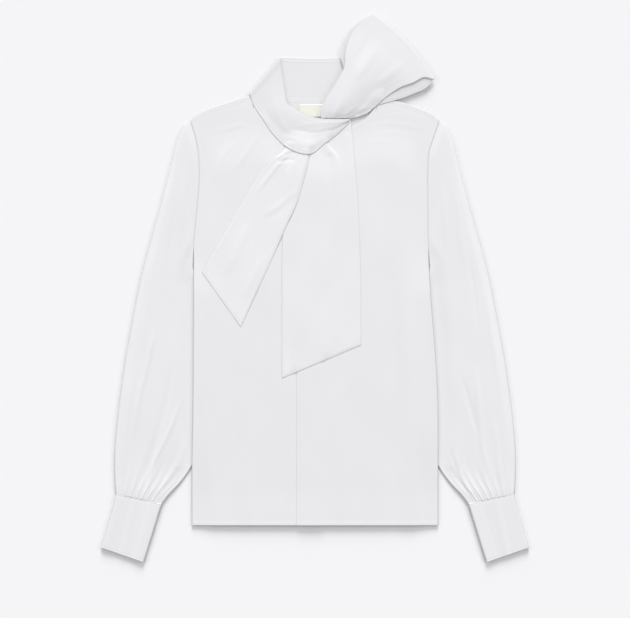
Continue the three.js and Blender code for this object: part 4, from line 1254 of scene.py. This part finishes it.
SHORT_CREASES = [
    (-0.7, 2.4, 2.4, (0.05, 0.3), [(-20.8, 221), (-25, 214), (-30.4, 207)]),
    (0.4, 3, 6, (0.2, 0.2), [(-64, 206), (-48, 217), (-33, 225)]),
    (0.5, 6, 5, (0.02, 0.6), [(-14, 222), (-17, 196), (-27, 160), (-46, 112)]),
    (-0.4, 4, 5, (0.1, 0.5), [(-26, 214), (-28, 194), (-36, 168)]),
    (0.22, 8, 9, (0.25, 0.4), [(-26, 164), (-46, 141), (-70, 124), (-96, 112)]),
    (-0.2, 8, 8, (0.25, 0.4), [(-30, 150), (-52, 126), (-80, 108)]),
    (0.45, 5, 6, (0.1, 0.5), [(-44, 214), (-60, 196), (-84, 166), (-100, 142)]),
    (-0.35, 4, 5, (0.1, 0.4), [(-60, 202), (-40, 206), (-28, 202)]),
    (0.4, 12, 14, (0.3, 0.3), [(-100, 110), (-122, 66), (-140, 20)]),
    (0.3, 10, 10, (0.3, 0.3), [(-80, 60), (-98, 20), (-118, -20)]),
]

# %% Lay the tails
def tail(name, table, creases, step):
    rows = dense_rows(table, step, first_fine=True, last_fine=True)
    mean_width = np.hypot(table[:, 0] - table[:, 2], table[:, 1] - table[:, 3]).mean()
    w = across_shares(mean_width, step)
    x, y, width, from_edge = strip_plan(rows, w)
    from_end = np.hypot(rows[-1, 0] - rows[:, [0]], rows[-1, 1] - rows[:, [1]])
    near, wide = (
        resting(x, y, 0.0, field, 0.0, w) for field in (lying_close(), spanning(pile, 6, 30)))
    z = mix(near, wide, soft_step(0, 16, from_end))
    z = z - 0.16 * (1 - soft_step(0, 2.5, np.minimum((1 - w) * width, from_end)))
    relief = np.maximum(crease_relief(x, y, creases) + soft_waves(x, y, 0.13), -0.15) + 0.1
    z = z + soft_step(0, 6, from_edge) * soft_step(0, 8, from_end) * relief
    z = z + edge_line(from_edge) + edge_line(from_end)
    obj, top = strip_piece(name, np.stack([x, y, z], axis=-1))
    lay_down(top)
    return obj


tail_long = tail("tail_long_cloth", TAIL_LONG, LONG_CREASES, 2.0)
tail_short = tail("tail_short_cloth", TAIL_SHORT, SHORT_CREASES, 1.8)
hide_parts("tail_long")
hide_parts("tail_short")

# %% [markdown]
# ## Loop
# The half bow is one broad loop over the wearer's left shoulder. Its lower layer lies on the
# shoulder, turns round at the far end in a soft fold, and the upper layer comes back to the knot,
# where it is pinched. Between the two the loop stands open at its lower edge.

# %% Lines of the loop
# left edge x and y, right edge x and y, least height of the underside, bulge, how far it bows out,
# how far the right edge droops
LOOP_OVER = np.array([
    (9.6, 272.2, 58, 271.9, 4.8, 0.2, 0, 2), (8.6, 278, 64, 273.2, 5.2, 0.6, 0, 2.6),
    (9.4, 286, 72, 275.6, 5.8, 0.9, 0, 3), (18, 305, 86, 282, 6.6, 1.1, 0, 3.6),
    (33, 328, 100, 294, 7.0, 1.1, 0, 3.6), (46, 352, 116, 308, 7.1, 1.0, 0, 3.2),
    (48.6, 378, 136, 321, 6.8, 0.8, 0.5, 2), (54.4, 399, 156, 328.4, 6.3, 0.6, 1.6, 1),
    (68, 420, 174, 337, 5.8, 0.3, 3.8, 0.4), (91.2, 438.3, 189.2, 333.9, 5.5, 0, 8, 0)])
LOOP_FOLD = np.array([(93.0, 440.0), (191.0, 335.6)])
LOOP_LOW, LOOP_HIGH, LOOP_CROWN = 4.5, 5.7, 8.0
LOOP_UNDER = np.array([
    (91.2, 438.3, 189.2, 333.9, 4.05, 0, 8, 0), (65, 421, 178, 320.6, 3.9, 0, 3, 0),
    (50, 400, 160, 312, 3.6, 0, 1, 0), (40.4, 374, 138, 303.6, 3.2, 0, 0, 0),
    (46, 350, 116, 297.8, 2.9, 0, 0, 0), (44, 330, 96, 292, 2.9, 0, 0, 0),
    (40, 312, 78, 286, 2.9, 0, 0, 0)])
LOOP_CREASES = [
    (0.3, 3, 6, (0.02, 0.6), [(28, 272), (34, 286), (46, 306)]),
    (0.26, 4, 5, (0.02, 0.6), [(44, 272), (56, 284), (76, 298)]),
    (0.22, 3, 4, (0.02, 0.6), [(17, 273), (19, 290), (28, 312)]),
    (-0.2, 3, 3, (0.02, 0.6), [(36, 272), (44, 284), (58, 298)]),
    (0.5, 14, 12, (0.3, 0.4), [(60, 330), (84, 360), (104, 396)]),
    (0.35, 10, 12, (0.3, 0.5), [(96, 322), (124, 346), (150, 366)]),
    (-0.3, 9, 9, (0.3, 0.5), [(60, 356), (78, 384), (92, 412)]),
]
LOOP_SHARES = across_shares(105.0, 1.8)
INSIDE_SHADE = 0.2  # painted shade on the lower layer where it shows inside the loop

# %% Lay the loop
loop_line = LOOP_FOLD[1] - LOOP_FOLD[0]
loop_out = np.array([-loop_line[1], loop_line[0]]) / np.linalg.norm(loop_line)


def loop_layer(table, field, close, creases=(), first_fine=False, last_fine=False):
    w = LOOP_SHARES
    rows = dense_rows(table, 2.0, first_fine, last_fine)
    least, bulge, bow, droop = (rows[:, [k]] for k in range(4, 8))
    x, y, width, from_edge = strip_plan(rows, w)
    bow = bow * np.sin(np.pi * w)
    x, y = x + loop_out[0] * bow, y + loop_out[1] * bow
    z = resting(x, y, least - droop * soft_step(0.3, 1, w), field, bulge, w)
    low = resting(x, y, least - droop, close, 0, w)
    z = mix(low, z, soft_step(0, 14, (1 - w) * width)) + edge_line(from_edge)
    if len(creases):
        relief = crease_relief(x, y, creases) + soft_waves(x, y, 0.12)
        z = z + soft_step(0, 7, from_edge) * relief
    return np.stack([x, y, z], axis=-1)


shoulder_rest = spanning(pile, 3, 12)
lower_layer = loop_layer(LOOP_UNDER, shoulder_rest, shoulder_rest, last_fine=True)
lower_layer = blend_ends(lower_layer, LOOP_LOW, None)
lay_down(lower_layer + TO_TOP)
upper_layer = loop_layer(
    LOOP_OVER, spanning(pile, 7, 50), lying_close(), LOOP_CREASES, first_fine=True)
upper_layer = blend_ends(upper_layer, None, LOOP_HIGH)
loop_fold = fold_over(*LOOP_FOLD, -loop_out, LOOP_LOW, LOOP_HIGH, LOOP_SHARES, False, LOOP_CROWN)
loop_middle = np.concatenate([upper_layer[:-1], loop_fold, lower_layer[1:]])
# painted shade on the lower layer inside the loop's opening
past_fold = np.arange(len(loop_middle))[:, None] > len(upper_layer) + len(loop_fold) - 4
inside = INSIDE_SHADE * past_fold * soft_step(0.5, 0.8, LOOP_SHARES)
bow_loop, _ = strip_piece("bow_loop_cloth", loop_middle, inside)
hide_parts("bow_loop")

# %% [markdown]
# ## Neck band, second part
# On the wearer's right the band turns over again and comes down over the front as the wrap, which
# passes over the knot and under the loop's base. The whole band is one strip.

# %% Lay the wrap and join the band
WRAP_CREASES = [
    (0.1, 4, 6, (0.25, 0.4), [(-36, 240), (-10, 250), (20, 256), (46, 262)]),
    (0.1, 4, 5, (0.25, 0.4), [(-40, 254), (-14, 262), (16, 264), (44, 267)]),
    (-0.08, 4, 5, (0.25, 0.4), [(-30, 232), (-6, 240), (20, 248), (44, 258)]),
    (0.12, 5, 6, (0.2, 0.3), [(-22, 224), (-4, 228), (12, 238), (34, 252)]),
    (0.2, 8, 7, (0.3, 0.4), [(-70, 330), (-66, 296), (-52, 262), (-30, 240)]),
    (-0.16, 7, 8, (0.3, 0.4), [(-82, 310), (-78, 286), (-62, 256)]),
]
wrap_rows = dense_rows(TIE_WRAP, 2.0, last_fine=True)
wrap = band(wrap_rows, spanning(pile, 8, 60), lying_close(), WRAP_CREASES)
wrap = blend_ends(wrap, FOLD_HIGH, None)
print("the wrap's top is", round(float(wrap[..., 2].max()) + TIE_CLOTH / 2, 1), "mm up")
neck_middle = np.concatenate([
    under_knot[:-1], neck_fold(1, False, BAND_SHARES), behind_neck[1:-1],
    neck_fold(-1, True, BAND_SHARES), wrap[1:]])
neck_tie, _ = strip_piece("neck_tie_cloth", neck_middle)
lay_down(wrap + TO_TOP)
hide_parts("neck_tie")

# %% [markdown]
# ## Stitches
# The hems, the stand and the cuffs are topstitched with silk thread. One stitch is a short rounded
# bar with six sides; a seam repeats it along a line that lies on the cloth, each one half sunk in.

# %% Make a seam
STITCH, STITCH_GAP, THREAD_WIDE = 2.3, 0.6, 0.34
SEAM_MARGIN = 0.4  # a seam starts and ends this far from the ends of its line
STITCH_SIDES = 6
# share along the stitch, share of the width
STITCH_FORM = [(0, 0.1), (0.12, 0.75), (0.5, 1.0), (0.88, 0.75), (1, 0.1)]


def stitch_points(a, b):
    """Rings of points round a stitch from one place to another."""
    forward = (b - a) / np.linalg.norm(b - a)
    side = np.cross(forward, (0, 0, 1))
    side = side / np.linalg.norm(side)
    up = np.cross(side, forward)
    points = []
    for share, wide in STITCH_FORM:
        middle = mix(a, b, share) + up * (0.04 - 0.16 * (1 - wide))
        for k in range(STITCH_SIDES):
            turn = 2 * math.pi * k / STITCH_SIDES
            spoke = side * math.cos(turn) + up * 0.7 * math.sin(turn)
            points.append(middle + THREAD_WIDE / 2 * wide * spoke)
    return points


def stitch_faces():
    """A stitch's sides, and two squares at each end."""
    faces = []
    for first in range(0, (len(STITCH_FORM) - 1) * STITCH_SIDES, STITCH_SIDES):
        for k in range(STITCH_SIDES):
            p, q = first + k, first + (k + 1) % STITCH_SIDES
            faces.append((p, q, q + STITCH_SIDES, p + STITCH_SIDES))
    for first, order in ((0, (0, 1, 2, 3)), (first + STITCH_SIDES, (3, 2, 1, 0))):
        faces.append([first + k for k in order])
        faces.append([first + (k + 3) % STITCH_SIDES for k in order])
    return np.array(faces)


def seam(name, lines):
    stitches = []
    for line in lines:
        along = length_along(line)
        for start in np.arange(SEAM_MARGIN, along[-1] - STITCH - SEAM_MARGIN, STITCH + STITCH_GAP):
            a, b = (
                np.array([np.interp(at, along, line[:, k]) for k in range(3)])
                for at in (start, start + STITCH))
            stitches.append(stitch_points(a, b))
    faces, each = stitch_faces(), len(STITCH_FORM) * STITCH_SIDES
    faces = np.concatenate([faces + each * k for k in range(len(stitches))])
    return add_piece(name, np.concatenate(stitches), faces, np.zeros((len(faces), 4, 2)), thread)

# %% Lines of the seams
def along_row(top, y_from_hem):
    """A line across a panel's upper face at a height above the hem."""
    column = np.arange(top.shape[1])
    height, number = HEM_Y + y_from_hem, np.arange(len(top))
    rows = np.array([np.interp(height, top[:, k, 1], number) for k in column])
    k = rows.astype(int)
    share = (rows - k)[:, None]
    return mix(top[k, column], top[np.minimum(k + 1, len(top) - 1), column], share)


def down_column(top, place, low, high):
    """A line down a panel's upper face, at a place across it, between two heights."""
    line = np.array([(place, row[0, 1], np.interp(place, row[:, 0], row[:, 2])) for row in top])
    return line[(line[:, 1] > low) & (line[:, 1] < high)]


def across_cuff(top, distance, end):
    """A line across a cuff's upper face, at a distance from its first or last row."""
    along = np.linalg.norm(top[:, 0] - top[end, 0], axis=1)
    return top[np.argmin(np.abs(along - distance)), 1:-1]

# %% Sew the seams
hem_right = along_row(right_top, HEM_FOLD - 0.5)
hem_right = hem_right[hem_right[:, 0] < STAND_EDGE - 1]
hem_left = along_row(left_top, HEM_FOLD - 0.5)
hem_stitches = seam("hem_stitches", [hem_right[2:], hem_left[1:-2]])
stand_line = down_column(left_top, STAND_EDGE + STAND_STITCH, HEM_Y + HEM_FOLD, 240)
stand_stitches = seam("stand_stitches", [stand_line])


cuff_stitches = [
    seam(f"{name}_stitches", [across_cuff(top, TOP_STITCH, 0), across_cuff(top, LOW_STITCH, -1)])
    for name, top in (("cuff_right", cuff_right_top), ("cuff_left", cuff_left_top))]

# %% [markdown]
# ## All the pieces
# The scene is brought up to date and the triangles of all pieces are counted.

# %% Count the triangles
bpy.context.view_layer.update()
total = sum(2 * len(obj.data.polygons) for obj in pieces.values())
print("triangles in all:", total)
